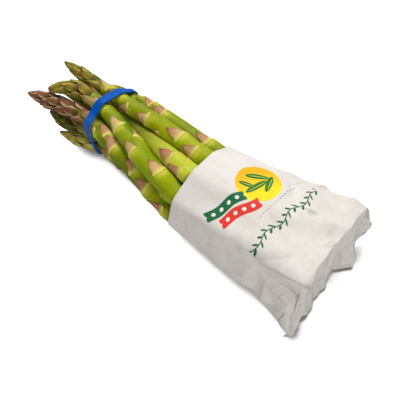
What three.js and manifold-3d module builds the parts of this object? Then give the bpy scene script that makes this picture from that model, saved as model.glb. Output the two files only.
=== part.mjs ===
// A banded bunch of eleven asparagus spears lying on its side, its lower half in an open paper sleeve.
// Millimetres, +Z up. The spears lie along X with their tips at -X and their cut butts at +X.
import * as THREE from 'three';
import { mergeVertices } from 'three/addons/utils/BufferGeometryUtils.js';
import Module from 'manifold-3d';

const wasm = await Module();
wasm.setup();

// ---- Driving dimensions -------------------------------------------------------------------

const BUTT_X = 105;                 // cut butts, a millimetre or so apart
const BUTT_RADIUS = 7.4;            // stalk radius at the cut butt
const MOUTH_RADIUS = 6.8;           // stalk radius where the sleeve begins
const NECK_RADIUS = 5.0;            // stalk radius under the head
const HEAD_LENGTH = 46;             // closed bud at the end of each spear
const HEAD_TAPER_LENGTH = 24;       // from the tip to the head's widest place
const HEAD_BLUNTNESS = 0.72;        // power of the head's taper
const HEAD_SWELL = 1.17;            // widest place of the head, over its scales, against the neck
const STALK_FULLNESS = 0.6;         // how much the stalk keeps its girth before it narrows to the neck
const TIP_RADIUS = 0.6;
const STALK_SIDES = 8;
const STALK_STEP = 18;              // spacing of the stalk's rings
const HEAD_STEP = 9.5;              // spacing of the head's rings

const GOLDEN_TURN = THREE.MathUtils.degToRad(137.5);
const STALK_SCALE_LENGTH = 12.5;
const STALK_SCALE_HALF_ANGLE = 0.82;
const STALK_SCALE_HEIGHT = 0.75;
const HEAD_SCALE_HALF_ANGLE = 1.12;
const HEAD_SCALE_HEIGHT = 1.25;
const SCALE_ROOT_DEPTH = 1.1;       // how far a scale's root is sunk in the stalk
const SLIM_RADIUS = 4.2;            // scales get thinner where the head is slimmer than this
const THINNEST_SCALE = 0.2;         // a scale pressed flatter than this by a neighbour is left out
const LAST_SCALE = 5;               // from the tip
const BUTT_SPACING = 20;            // from scale to scale at the cut butt
const NECK_SPACING = 6;             // from scale to scale under the head
const TIP_SPACING = 3;              // from scale to scale at the tip
const CROWDING_STARTS = 10;         // scales crowd together from this far below the neck

const EDGE_MARGIN = 1.3;            // scales are pressed flat this far beyond the band and the paper
const SPEAR_GAP = 0.5;              // air left between two stalks
const SKIN_GAP = 0.32;              // air left between any two pieces

const SLEEVE_MOUTH_X = 20;
const SLEEVE_END_X = 108;           // where the paper turns down over the butts
const SLEEVE_LIP_X = 114;           // free edge of the paper behind the butts, at the middle
const PAPER = 0.8;                  // wall of the paper, thicker than life
const PAPER_SLACK = 1.2;            // stalk to paper
const SLEEVE_FLARE = 0.26;          // widening of the free edge at the table
const RIDGE_FLARE = 0.1;            // and of what hangs from the top corners
const LIP_SLANT = -0.1;             // the free edge is further out on the near side
const LIP_HEIGHT = 2.6;             // free edge of the upper paper, over the table
const LIP_CROWN = 0.03;             // how much of its first height the free edge keeps
const TONGUES = [                   // where the free edge juts out
  { y: 25, width: 6.5, length: 8 },
  { y: 51, width: 5, length: 6.5 },
];
const CURL = { fromY: 26, toY: 42, height: 9, width: 5, lowestZ: 8, highestZ: 26 };   // far corner
const FOOT = { y: -24.5, width: 5, height: 6 };   // near ridge, which stays off the table
const SLEEVE_POINTS = 36;
const SLEEVE_STATIONS = [20, 32, 46, 60, 74, 87, 97, 104];
const LAST_SNUG_X = 100;            // behind this the paper keeps the outline it has here
const CURTAIN_STEPS = [0.08, 0.3, 0.62, 1];
const MOUTH_MIDDLE_Y = 0;
const END_MIDDLE_Y = 8;
const SPREAD_MIDDLE_Y = 0.6;

const BAND_X = -61.5;
const BAND_WIDTH = 6.4;
const BAND_THICKNESS = 1;
const BAND_LEAN = -0.12;            // the top of the band is nearer the tips
const BAND_REACH = 7;               // half the length of spear that the band touches
const BAND_EDGES = [                // its edges either side of its middle: it rolls up at the near side
  { turn: 0, tips: 3.9, butts: 0.2 },
  { turn: 50, tips: 3.4, butts: 1.8 },
  { turn: 75, tips: 3.2, butts: 3.2 },
  { turn: 150, tips: 3.2, butts: 3.2 },
  { turn: 168, tips: 4.7, butts: 1 },
  { turn: 178, tips: 3.5, butts: 1 },
  { turn: 197, tips: -0.3, butts: 3 },
  { turn: 230, tips: -0.8, butts: 3.3 },
  { turn: 275, tips: 1.5, butts: 2.2 },
  { turn: 330, tips: 3.2, butts: 1.2 },
  { turn: 360, tips: 3.9, butts: 0.2 },
];
const BAND_MIDDLE_Y = 3;
const BAND_POINTS = 40;

const FLAT_SNAP = 0.5;              // what comes this near to the table lies flat on it

const MIDDLE_Z = 20;                // half the height of the bunch
const FLOOR_GAP = Math.max(BAND_THICKNESS, PAPER) + 0.5;

// Each spear: girth against the mean, its first scale's distance from the butt and turn in degrees, and
// its route from the butt to the tip through the sleeve's mouth and the rubber band.
const SPEARS = [
  { name: 'spear_01', girth: 0.95, firstScale: 17, turn: 300,
    route: [[105, 33, 34.5], [62, 26, 31], [20, 20, 27.5], [-25, 20, 27.3], [-64, 17.4, 27],
      [-85, 15, 27.5]] },
  { name: 'spear_02', girth: 0.92, firstScale: 18, turn: 240,
    route: [[105.5, 17.5, 36.5], [62, 12, 36.3], [20, 6.8, 35.7], [-25, 7.3, 34.5], [-64, 7.8, 33.5],
      [-85, 5.4, 35.3], [-100, 4.8, 36.5], [-115, 3.7, 38.5]] },
  { name: 'spear_03', girth: 0.98, firstScale: 18, turn: 310,
    route: [[104.5, 2, 36.2], [62, -3, 35.7], [20, -7.5, 33.7], [-5, -6.5, 31], [-30, -1, 27],
      [-64, 1, 23.5], [-80, -2.5, 26], [-91, -7, 28], [-99, -11.5, 28.5]] },
  { name: 'spear_04', girth: 1.0, firstScale: 21, turn: 330,
    route: [[105, -14, 35.2], [62, -17.5, 30.3], [20, -19, 25.7], [-25, -13.5, 30.8], [-64, -5.6, 34],
      [-75, -5.4, 35], [-86, -6.3, 35.2], [-94, -8.5, 34.8], [-99.5, -13, 34], [-104, -20.5, 32]] },
  { name: 'spear_05', girth: 1.06, firstScale: 18, turn: 280,
    route: [[106, -20.5, 9], [62, -22, 9.5], [20, -19.7, 12.3], [-25, -18, 20.5], [-64, -14.6, 27.7],
      [-77, -16.5, 27.5], [-88, -18.5, 28], [-97, -20.5, 28.5], [-108, -24.3, 29.2],
      [-120.5, -27.9, 27.8]] },
  { name: 'spear_06', girth: 0.95, firstScale: 15, turn: 260,
    route: [[104.5, -5, 8.7], [62, -7, 8.3], [20, -9, 8], [-25, -15.5, 8], [-64, -14.5, 6.8],
      [-76, -22.5, 7.3], [-84, -25, 8], [-92.5, -28.2, 8.5]] },
  { name: 'spear_07', girth: 0.97, firstScale: 20, turn: 310,
    route: [[105.5, -10, 22.5], [62, -9, 21.5], [20, -7, 20], [-25, -7, 17], [-50, -12.5, 16.5],
      [-64, -16.3, 17.2], [-76, -20.5, 16], [-88, -23.5, 16.2], [-104, -24.5, 18.4]] },
  { name: 'spear_08', girth: 0.88, firstScale: 16, turn: 45,
    route: [[104, 10.5, 8.5], [62, 6, 8.3], [20, 3, 8], [-25, -3, 7.3], [-64, -7, 7], [-98, -12, 8]] },
  { name: 'spear_09', girth: 0.9, firstScale: 19, turn: 130,
    route: [[105, 31, 18.5], [62, 27, 16.5], [20, 23, 15], [-25, 21.5, 14], [-64, 18.5, 14.5],
      [-93, 22, 15]] },
  { name: 'spear_10', girth: 0.86, firstScale: 17, turn: 0,
    route: [[104.5, 8, 22.5], [62, 7, 21], [20, 7, 20], [-25, 8, 17], [-64, 8.5, 16], [-103, 9, 18]] },
  { name: 'spear_11', girth: 0.86, firstScale: 24, turn: 230,
    route: [[104.5, 25.5, 8], [62, 19.5, 7.5], [20, 14.5, 7.3], [-25, 9, 7], [-64, 4.5, 6.5],
      [-96, 4, 8]] },
];

// ---- Small helpers ------------------------------------------------------------------------

const smoothstep = THREE.MathUtils.smoothstep;
const lerp = THREE.MathUtils.lerp;

/** Outward-facing BufferGeometry from vertices and triangles, shared vertices kept once. */
function closedGeometry(points, triangles) {
  const positions = new Float32Array(points.flatMap((p) => [p.x, p.y, p.z]));
  const geometry = new THREE.BufferGeometry();
  geometry.setAttribute('position', new THREE.BufferAttribute(positions, 3));
  geometry.setIndex(signedVolume(points, triangles) < 0 ? triangles.map(([a, b, c]) => [a, c, b]).flat()
    : triangles.flat());
  return geometry;
}

function signedVolume(points, triangles) {
  const cross = new THREE.Vector3();
  const wedge = ([a, b, c]) => cross.crossVectors(points[b], points[c]).dot(points[a]);
  return triangles.reduce((sum, triangle) => sum + wedge(triangle), 0);
}

function toSolid(geometry) {
  const shared = mergeVertices(geometry, 1e-4);
  const mesh = new wasm.Mesh({
    numProp: 3,
    vertProperties: new Float32Array(shared.attributes.position.array),
    triVerts: new Uint32Array(shared.index.array),
  });
  return new wasm.Manifold(mesh);
}

/** The largest piece alone: hollows that the joining sealed are filled and loose scraps dropped. */
function largestPiece(solid) {
  return solid.decompose().reduce((best, piece) => (piece.volume() > best.volume() ? piece : best));
}

function fromSolid(solid) {
  const mesh = solid.getMesh();
  const geometry = new THREE.BufferGeometry();
  geometry.setAttribute('position', new THREE.BufferAttribute(new Float32Array(mesh.vertProperties), 3));
  geometry.setIndex(new THREE.BufferAttribute(new Uint32Array(mesh.triVerts), 1));
  return geometry;
}

// ---- Routes of the spears ------------------------------------------------------------------

const ROUTE_SAMPLES = 60;
const RELAX_ROUNDS = 220;
const STRAIGHTEN = 0.22;
const RETURN_PULL = 0.015;
const FREE_ROUNDS = 12;             // last rounds, which only push apart
const NEARBY = 4;

/** Radius of the stalk at a distance from the tip; the head is a slim core that its scales cover. */
function stalkRadius(spear, fromTip) {
  const covered = BUTT_X - SLEEVE_MOUTH_X;
  const behindMouth = fromTip - (spear.length - covered);
  const freed = Math.max(0, 1 + behindMouth / (SLEEVE_MOUTH_X - BAND_X));
  const below = behindMouth > 0
    ? lerp(MOUTH_RADIUS, BUTT_RADIUS, Math.min(1, behindMouth / covered))
    : lerp(NECK_RADIUS, MOUTH_RADIUS, freed * (1 + STALK_FULLNESS * (1 - freed)));
  if (fromTip > HEAD_LENGTH) {
    return below * spear.girth;
  }
  const quarterTurn = 0.5 * Math.PI * Math.min(1, fromTip / HEAD_TAPER_LENGTH);
  const taper = Math.pow(Math.sin(quarterTurn), HEAD_BLUNTNESS);
  const swell = lerp(HEAD_SWELL, 1, smoothstep(fromTip, HEAD_TAPER_LENGTH, HEAD_LENGTH));
  const overScales = below * spear.girth * taper * swell;
  return Math.max(TIP_RADIUS, overScales - scaleCover(fromTip) * Math.min(1, overScales / NECK_RADIUS));
}

/** Thickness that the head's overlapping scales add to its core. */
function scaleCover(fromTip) {
  return 0.85 * HEAD_SCALE_HEIGHT * (1 - smoothstep(fromTip, HEAD_TAPER_LENGTH, HEAD_LENGTH));
}

/** Room that a spear takes at a distance from its tip: its stalk, or the head with its scales. */
function reach(spear, fromTip) {
  return stalkRadius(spear, fromTip) + scaleCover(fromTip);
}

function sampleRoute(spear) {
  const marks = spear.route.map((p) => new THREE.Vector3(...p));
  const curve = new THREE.CatmullRomCurve3(marks, false, 'centripetal');
  spear.length = curve.getLength();
  spear.home = curve.getSpacedPoints(ROUTE_SAMPLES - 1);
  spear.samples = spear.home.map((p) => p.clone());
}

function sampleReach(spear, index) {
  return reach(spear, spear.length * (1 - index / (ROUTE_SAMPLES - 1)));
}

/** Pushes two spears apart wherever their samples are nearer than their radii and the gap. */
function pushApart(one, two) {
  const between = new THREE.Vector3();
  one.samples.forEach((p, i) => {
    let nearest = 0;
    let least = Infinity;
    two.samples.forEach((q, j) => {
      const d = p.distanceToSquared(q);
      if (d < least) {
        least = d;
        nearest = j;
      }
    });
    const q = two.samples[nearest];
    between.subVectors(p, q);
    between.addScaledVector(one.along[i], -between.dot(one.along[i]));
    const wanted = sampleReach(one, i) + sampleReach(two, nearest) + SPEAR_GAP;
    const distance = between.length();
    if (Math.sqrt(least) < wanted + NEARBY && distance < wanted) {
      between.multiplyScalar((wanted - distance) / (2 * Math.max(distance, 1e-6)));
      p.add(between);
      q.sub(between);
    }
  });
}

/** Keeps a spear nearly straight, near its own route and above the paper, the band and the table. */
function settle(spear) {
  const { samples, home } = spear;
  for (let i = 1; i < samples.length - 1; i += 1) {
    const middle = samples[i - 1].clone().add(samples[i + 1]).multiplyScalar(0.5);
    const homeBend = home[i].clone().sub(home[i - 1].clone().add(home[i + 1]).multiplyScalar(0.5));
    samples[i].lerp(middle.add(homeBend), STRAIGHTEN);
  }
  samples.forEach((p, i) => {
    p.lerp(home[i], RETURN_PULL);
    p.x = home[i].x;
    p.z = Math.max(p.z, sampleReach(spear, i) + FLOOR_GAP);
  });
}

function relaxRoutes() {
  SPEARS.forEach(sampleRoute);
  for (let round = 0; round < RELAX_ROUNDS; round += 1) {
    SPEARS.forEach((spear) => {
      const last = spear.samples.length - 1;
      spear.along = spear.samples.map((p, i) => spear.samples[Math.min(i + 1, last)].clone()
        .sub(spear.samples[Math.max(i - 1, 0)]).normalize());
    });
    for (let a = 0; a < SPEARS.length; a += 1) {
      for (let b = a + 1; b < SPEARS.length; b += 1) {
        pushApart(SPEARS[a], SPEARS[b]);
        pushApart(SPEARS[b], SPEARS[a]);
      }
    }
    if (round < RELAX_ROUNDS - FREE_ROUNDS) {
      SPEARS.forEach(settle);
    }
  }
  SPEARS.forEach((spear) => {
    spear.curve = new THREE.CatmullRomCurve3(spear.samples, false, 'centripetal');
    spear.curve.arcLengthDivisions = 400;
    spear.length = spear.curve.getLength();
  });
}

// ---- Spears ---------------------------------------------------------------------------------

/** Point at a distance from the butt, an angle round the stalk (0 at +Y, 90 degrees up) and a height. */
function onStalk(spear, fromButt, angle, height) {
  const share = THREE.MathUtils.clamp(fromButt / spear.length, 0, 1);
  const centre = spear.curve.getPointAt(share);
  const along = spear.curve.getTangentAt(share);
  const side = new THREE.Vector3().crossVectors(along, new THREE.Vector3(0, 0, 1)).normalize();
  const lift = new THREE.Vector3().crossVectors(side, along);
  const radius = stalkRadius(spear, spear.length - fromButt) + height;
  centre.addScaledVector(side, radius * Math.cos(angle));
  return centre.addScaledVector(lift, radius * Math.sin(angle));
}

function stalkGeometry(spear) {
  const headStart = spear.length - HEAD_LENGTH;
  const stalkRings = Math.round(headStart / STALK_STEP);
  const headRings = Math.round(HEAD_LENGTH / HEAD_STEP);
  const stations = [];
  for (let i = 0; i < stalkRings; i += 1) {
    stations.push((headStart * i) / stalkRings);
  }
  for (let i = 0; i < headRings; i += 1) {
    stations.push(headStart + HEAD_LENGTH * (1 - Math.pow(1 - i / headRings, 1.15)));
  }
  const points = stations.flatMap((s) => Array.from({ length: STALK_SIDES },
    (_, k) => onStalk(spear, s, (2 * Math.PI * k) / STALK_SIDES, 0)));
  const triangles = [];
  for (let i = 0; i + 1 < stations.length; i += 1) {
    for (let k = 0; k < STALK_SIDES; k += 1) {
      const a = i * STALK_SIDES + k;
      const b = i * STALK_SIDES + ((k + 1) % STALK_SIDES);
      triangles.push([a, b, a + STALK_SIDES], [b, b + STALK_SIDES, a + STALK_SIDES]);
    }
  }
  const butt = points.push(spear.curve.getPointAt(0)) - 1;
  const tip = points.push(spear.curve.getPointAt(1)) - 1;
  const lastRing = (stations.length - 1) * STALK_SIDES;
  for (let k = 0; k < STALK_SIDES; k += 1) {
    const next = (k + 1) % STALK_SIDES;
    triangles.push([butt, next, k], [tip, lastRing + k, lastRing + next]);
  }
  return closedGeometry(points, triangles);
}

/** Height that a scale may have at a place on the stalk before it meets a neighbour or the band. */
function headroom(spear, fromButt, angle) {
  const p = onStalk(spear, fromButt, angle, 0);
  let room = p.z - (p.x > SLEEVE_MOUTH_X - EDGE_MARGIN ? PAPER : 0) - SKIN_GAP;
  if (Math.abs(p.x - bandCentreX(p.z)) < BAND_WIDTH / 2 + EDGE_MARGIN) {
    room = Math.min(room, -SKIN_GAP);
  }
  if (p.x > SLEEVE_MOUTH_X - EDGE_MARGIN) {
    room = Math.min(room, PAPER_SLACK - 2 * SKIN_GAP);
  }
  SPEARS.filter((other) => other !== spear).forEach((other) => {
    other.samples.forEach((q, j) => {
      const apart = p.distanceTo(q) - reach(other, other.length * (1 - j / (ROUTE_SAMPLES - 1)));
      room = Math.min(room, apart / 2 - SKIN_GAP / 2);
    });
  });
  return Math.max(room, -0.5);
}

/** One scale leaf: a triangle hugging the stalk, its wide root towards the butt and highest there. */
function scaleSolid(spear, root, angle, length, halfAngle, height) {
  const outline = [
    { s: 0.04, a: -0.95, h: 0.35 },
    { s: 1, a: 0, h: 0.5 },
    { s: 0.04, a: 0.95, h: 0.35 },
  ];
  const end = spear.length - 0.4;
  const raised = ({ s, a, h }) => {
    const at = Math.min(root + s * length, end);
    const turn = angle + a * halfAngle;
    const slimness = Math.min(1, stalkRadius(spear, spear.length - at) / SLIM_RADIUS);
    return onStalk(spear, at, turn, Math.min(h * height * slimness, headroom(spear, at, turn)));
  };
  const depth = Math.min(SCALE_ROOT_DEPTH, 0.8 * stalkRadius(spear, spear.length - root));
  const sunk = ({ s, a }) => {
    const at = Math.min(root + s * length, end);
    return onStalk(spear, at, angle + 0.9 * a * halfAngle, -depth);
  };
  const points = [...outline.map(raised), ...outline.map(sunk)];
  const ridge = points.push(raised({ s: 0.1, a: 0, h: 1 })) - 1;
  const keel = points.push(sunk({ s: 0.3, a: 0 })) - 1;
  const n = outline.length;
  const triangles = [];
  for (let i = 0; i < n; i += 1) {
    const next = (i + 1) % n;
    triangles.push([i, next, ridge], [n + next, n + i, keel], [i, n + i, next], [next, n + i, n + next]);
  }
  return toSolid(closedGeometry(points, triangles));
}

/** Places the scales in a golden-angle spiral, far apart on the stalk and tile on tile in the head. */
function spearScales(spear) {
  const scales = [];
  const neck = spear.length - HEAD_LENGTH;
  let angle = THREE.MathUtils.degToRad(spear.turn);
  let at = spear.firstScale;
  while (at < spear.length - LAST_SCALE) {
    const intoHead = (at - neck + CROWDING_STARTS) / (HEAD_LENGTH + LAST_SCALE);
    const inHead = THREE.MathUtils.clamp(intoHead, 0, 1);
    const wanted = inHead > 0 ? lerp(15.5, 8, inHead) : STALK_SCALE_LENGTH;
    const length = Math.min(wanted, spear.length - at - 0.5);
    const half = lerp(STALK_SCALE_HALF_ANGLE, HEAD_SCALE_HALF_ANGLE, Math.min(1, 3 * inHead));
    const full = lerp(STALK_SCALE_HEIGHT, HEAD_SCALE_HEIGHT, Math.min(1, 2.5 * inHead));
    const height = full * (1 - 0.35 * inHead);
    if (headroom(spear, at + 0.1 * length, angle) > THINNEST_SCALE) {
      scales.push(scaleSolid(spear, at, angle, length, half, height));
    }
    angle -= GOLDEN_TURN;
    at += inHead > 0 ? lerp(NECK_SPACING, TIP_SPACING, inHead)
      : lerp(BUTT_SPACING, NECK_SPACING, Math.sqrt(at / neck));
  }
  return scales;
}

function spearMesh(spear) {
  const solid = largestPiece(wasm.Manifold.union([toSolid(stalkGeometry(spear)), ...spearScales(spear)]));
  const material = new THREE.MeshStandardMaterial({ color: 0x86a31c, roughness: 0.5, metalness: 0 });
  const mesh = new THREE.Mesh(fromSolid(solid), material);
  mesh.name = spear.name;
  return mesh;
}

// ---- Outlines round the bunch ---------------------------------------------------------------

/** Centre and radius of each spear that crosses the plane at x. */
function circlesAt(x) {
  return SPEARS.flatMap((spear) => {
    const { samples } = spear;
    const after = samples.findIndex((p) => p.x < x);
    if (after < 1) {
      return [];
    }
    const before = samples[after - 1];
    const share = (before.x - x) / (before.x - samples[after].x);
    const centre = before.clone().lerp(samples[after], share);
    const fromButt = (spear.length * (after - 1 + share)) / (ROUTE_SAMPLES - 1);
    return [{ y: centre.y, z: centre.z, r: stalkRadius(spear, spear.length - fromButt) }];
  });
}

/** Distance from a centre to the tight outline round the circles, in one direction. */
function outlineRadius(circles, centre, angle, offset) {
  const ray = new THREE.Vector2(Math.cos(angle), Math.sin(angle));
  let least = Infinity;
  for (let k = -30; k <= 30; k += 1) {
    const lean = angle + (k * Math.PI) / 66;
    const normal = new THREE.Vector2(Math.cos(lean), Math.sin(lean));
    const reaches = circles.map((c) => (c.y - centre.y) * normal.x + (c.z - centre.z) * normal.y + c.r);
    const support = Math.max(...reaches);
    const facing = ray.dot(normal);
    if (facing > 0.05) {
      least = Math.min(least, (support + offset) / facing);
    }
  }
  return least;
}

/** Closed tube wall between an outer and an inner grid of rings, split alike and joined at both rims. */
function tubeWall(outer, inner) {
  const around = outer[0].length;
  const points = [...outer.flat(), ...inner.flat()];
  const innerStart = outer.length * around;
  const triangles = [];
  const quad = (a, b, c, d) => triangles.push([a, b, c], [a, c, d]);
  for (let i = 0; i + 1 < outer.length; i += 1) {
    for (let k = 0; k < around; k += 1) {
      const next = (k + 1) % around;
      quad(i * around + k, i * around + next, (i + 1) * around + next, (i + 1) * around + k);
      quad(innerStart + i * around + k, innerStart + (i + 1) * around + k,
        innerStart + (i + 1) * around + next, innerStart + i * around + next);
    }
  }
  const last = (outer.length - 1) * around;
  for (let k = 0; k < around; k += 1) {
    const next = (k + 1) % around;
    quad(next, k, innerStart + k, innerStart + next);
    quad(last + k, last + next, innerStart + last + next, innerStart + last + k);
  }
  return closedGeometry(points, triangles);
}

// ---- Rubber band ----------------------------------------------------------------------------

function bandCentreX(z) {
  return BAND_X + BAND_LEAN * (z - MIDDLE_Z);
}

/** Point of the band's wall in one direction, over the spears that the band touches just there. */
function onBand(angle, edge, offset) {
  const centre = new THREE.Vector3(0, BAND_MIDDLE_Y, MIDDLE_Z);
  let point = centre;
  for (let pass = 0; pass < 3; pass += 1) {
    const middle = bandCentreX(point.z);
    const circles = [-1, -0.5, 0, 0.5, 1].flatMap((share) => circlesAt(middle + share * BAND_REACH));
    const radius = outlineRadius(circles, centre, angle, offset);
    const outward = new THREE.Vector3(0, Math.cos(angle), Math.sin(angle));
    point = outward.multiplyScalar(radius).add(centre);
  }
  const bottom = offset > BAND_THICKNESS ? 0 : BAND_THICKNESS;
  point.z = point.z < bottom + FLAT_SNAP ? bottom : point.z;
  const turn = THREE.MathUtils.radToDeg(angle);
  const after = BAND_EDGES.find((mark) => mark.turn > turn);
  const before = BAND_EDGES[BAND_EDGES.indexOf(after) - 1];
  const share = (turn - before.turn) / (after.turn - before.turn);
  point.x = bandCentreX(point.z) + (edge < 0 ? -lerp(before.tips, after.tips, share)
    : lerp(before.butts, after.butts, share));
  return point;
}

function bandMesh() {
  const ring = (edge, offset) => Array.from({ length: BAND_POINTS },
    (_, k) => onBand((2 * Math.PI * k) / BAND_POINTS, edge, offset));
  const inner = [ring(-1, SKIN_GAP), ring(1, SKIN_GAP)];
  const outer = [ring(-1, SKIN_GAP + BAND_THICKNESS), ring(1, SKIN_GAP + BAND_THICKNESS)];
  const material = new THREE.MeshStandardMaterial({ color: 0x0a55c8, roughness: 0.45, metalness: 0 });
  const mesh = new THREE.Mesh(tubeWall(outer, inner), material);
  mesh.name = 'rubber_band';
  return mesh;
}

// ---- Paper sleeve ---------------------------------------------------------------------------

/** Outline of the paper's inner face at x: tight round the stalks, flat where it lies on the table. */
function sleeveRing(x, offset, floor) {
  const circles = circlesAt(Math.min(x, LAST_SNUG_X));
  const toEnd = smoothstep(x, SLEEVE_MOUTH_X, LAST_SNUG_X);
  const centre = { y: lerp(MOUTH_MIDDLE_Y, END_MIDDLE_Y, toEnd), z: MIDDLE_Z };
  return Array.from({ length: SLEEVE_POINTS }, (_, k) => {
    const angle = (2 * Math.PI * (k + 0.5)) / SLEEVE_POINTS;
    const radius = outlineRadius(circles, centre, angle, PAPER_SLACK + offset);
    const z = Math.max(floor, centre.z + radius * Math.sin(angle));
    return new THREE.Vector3(x, centre.y + radius * Math.cos(angle), z);
  });
}

/** How far out the free edge of the paper lies at y: slanted, with its tongues. */
function freeEdgeX(y) {
  const jut = ({ y: middle, width, length }) => length * Math.exp(-Math.pow((y - middle) / width, 2));
  return SLEEVE_LIP_X + LIP_SLANT * y + TONGUES.reduce((sum, tongue) => sum + jut(tongue), 0);
}

/** The paper behind the butts: it turns down, spreads a little and ends in its waved free edge. */
function curtainRing(step, offset, floor) {
  const lip = LIP_HEIGHT - (offset > 0 ? 0 : PAPER);
  const outerFace = sleeveRing(SLEEVE_END_X, PAPER, 0);
  return sleeveRing(SLEEVE_END_X, offset, floor).map((p, k) => {
    const outer = outerFace[k];
    const flare = step * lerp(SLEEVE_FLARE, RIDGE_FLARE, Math.min(1, outer.z / (2 * MIDDLE_Z)));
    const curl = smoothstep(outer.y, CURL.fromY, CURL.toY)
      * smoothstep(outer.z, CURL.lowestZ, CURL.highestZ);
    const spread = (y) => y + flare * (y - SPREAD_MIDDLE_Y) + step * CURL.width * curl;
    const outerY = spread(outer.y);
    const x = lerp(SLEEVE_END_X, freeEdgeX(outerY), step) + (offset > 0 ? 0 : -PAPER);
    const raised = Math.min(1, outer.z / (2 * MIDDLE_Z));
    const foot = FOOT.height * Math.exp(-Math.pow((outerY - FOOT.y) / FOOT.width, 2));
    const edge = lip + CURL.height * curl + foot * raised + LIP_CROWN * outer.z;
    const z = lerp(p.z, edge, smoothstep(step, 0, 1));
    return new THREE.Vector3(x, spread(p.y), p.z < floor + 0.2 ? floor : z);
  });
}

function sleeveMesh() {
  const wall = (offset, floor) => [
    ...SLEEVE_STATIONS.map((x) => sleeveRing(x, offset, floor)),
    ...CURTAIN_STEPS.map((step) => curtainRing(step, offset, floor)),
  ];
  const material = new THREE.MeshStandardMaterial({ color: 0xe4dfd8, roughness: 0.8, metalness: 0 });
  const mesh = new THREE.Mesh(tubeWall(wall(PAPER, 0), wall(0, PAPER)), material);
  mesh.name = 'paper_sleeve';
  return mesh;
}

// ---- The bunch ------------------------------------------------------------------------------

relaxRoutes();

const group = new THREE.Group();
SPEARS.forEach((spear) => group.add(spearMesh(spear)));
group.add(bandMesh());
group.add(sleeveMesh());

// The origin is under the middle of the bunch, on the table.
const box = new THREE.Box3().setFromObject(group);
group.position.set(-(box.min.x + box.max.x) / 2, -(box.min.y + box.max.y) / 2, -box.min.z);

export default group;
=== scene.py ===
"""A banded bunch of eleven asparagus spears, its lower half in a printed paper sleeve."""

import math

import bpy
import numpy as np
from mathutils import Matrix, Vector, geometry


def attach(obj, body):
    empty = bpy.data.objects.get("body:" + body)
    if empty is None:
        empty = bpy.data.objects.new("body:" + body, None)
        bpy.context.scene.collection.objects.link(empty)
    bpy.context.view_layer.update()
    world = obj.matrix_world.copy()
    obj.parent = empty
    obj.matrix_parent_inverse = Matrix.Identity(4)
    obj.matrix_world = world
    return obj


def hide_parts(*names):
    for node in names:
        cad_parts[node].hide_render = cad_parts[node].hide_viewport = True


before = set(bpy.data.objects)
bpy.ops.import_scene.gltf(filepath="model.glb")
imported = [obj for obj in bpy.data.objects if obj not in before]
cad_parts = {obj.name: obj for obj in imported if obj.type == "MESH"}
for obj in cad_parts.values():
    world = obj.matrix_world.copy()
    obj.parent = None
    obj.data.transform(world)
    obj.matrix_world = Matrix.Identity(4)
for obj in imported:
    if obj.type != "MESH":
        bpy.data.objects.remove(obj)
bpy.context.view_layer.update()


# ---- Spears: routes and girth -------------------------------------------------------------------
# Each spear is a young shoot, cut from its crown: a juicy stalk under a closed head of scale leaves.
# Their centre lines are those of the CAD nodes; the bunch holds them pressed against each other.
# Lengths are in millimetres until a mesh is made. X runs from the tips to the cut butts, Z is up.

MM = 0.001
# where the frame has the point from which the band, the paper and its print are laid out
SHIFT_X, SHIFT_Y = 1.11, -7.07
# radius at the cut butt, at the sleeve's mouth and under the head, for a spear of girth 1
BUTT_RADIUS = 7.4
MOUTH_RADIUS = 6.8
NECK_RADIUS = 5.0
STALK_FULLNESS = 0.6
SLEEVED_LENGTH = 85.0
BANDED_LENGTH = 81.5
HEAD_LENGTH = 46.0
HEAD_TAPER = 24.0
HEAD_SWELL = 1.17
HEAD_COVER = 1.06
HEAD_BLUNTNESS = 0.72
BLUNTER_HEADS = {"spear_04": 0.46}
TIP_RADIUS = 0.6

# girth; first scale's distance from the butt and its turn in degrees; scales of the bare stalk, each
# by its distance from the butt and its turn
SPEARS = {
    "spear_01": (0.95, 17, 300, [(98, 88), (137, 108), (149, 64)]),
    "spear_02": (0.92, 18, 240, [(95, 136), (109, 96), (124, 203), (137, 152), (155, 176), (165, 110)]),
    "spear_03": (0.98, 18, 310, [(90, 162), (101, 116), (146, 270)]),
    "spear_04": (1.0, 21, 330, [(104, 88), (126, 142), (134, 22), (147, 126), (168, 114)]),
    "spear_05": (1.06, 18, 280, [(109, 138), (123, 104), (144, 112), (154, 84), (162, 182)]),
    "spear_06": (0.95, 15, 260, []),
    "spear_07": (0.97, 20, 310, []),
    "spear_08": (0.88, 16, 45, []),
    "spear_09": (0.9, 19, 130, []),
    "spear_10": (0.86, 17, 0, []),
    "spear_11": (0.86, 24, 230, []),
}


def smoothstep(x, low, high):
    """0 below low, 1 above high and t * t * (3 - 2 t) between."""
    t = np.clip((x - low) / (high - low), 0.0, 1.0)
    return t * t * (3.0 - 2.0 * t)


def lerp(a, b, share):
    """From a to b: a + (b - a) share."""
    return a + (b - a) * share


def cad_mesh(name):
    """Points in millimetres and triangles of a CAD node."""
    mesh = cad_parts[name].data
    points = np.empty(len(mesh.vertices) * 3)
    mesh.vertices.foreach_get("co", points)
    mesh.calc_loop_triangles()
    triangles = np.empty(len(mesh.loop_triangles) * 3, dtype=np.int32)
    mesh.loop_triangles.foreach_get("vertices", triangles)
    return points.reshape(-1, 3) / MM, triangles.reshape(-1, 3)


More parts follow.
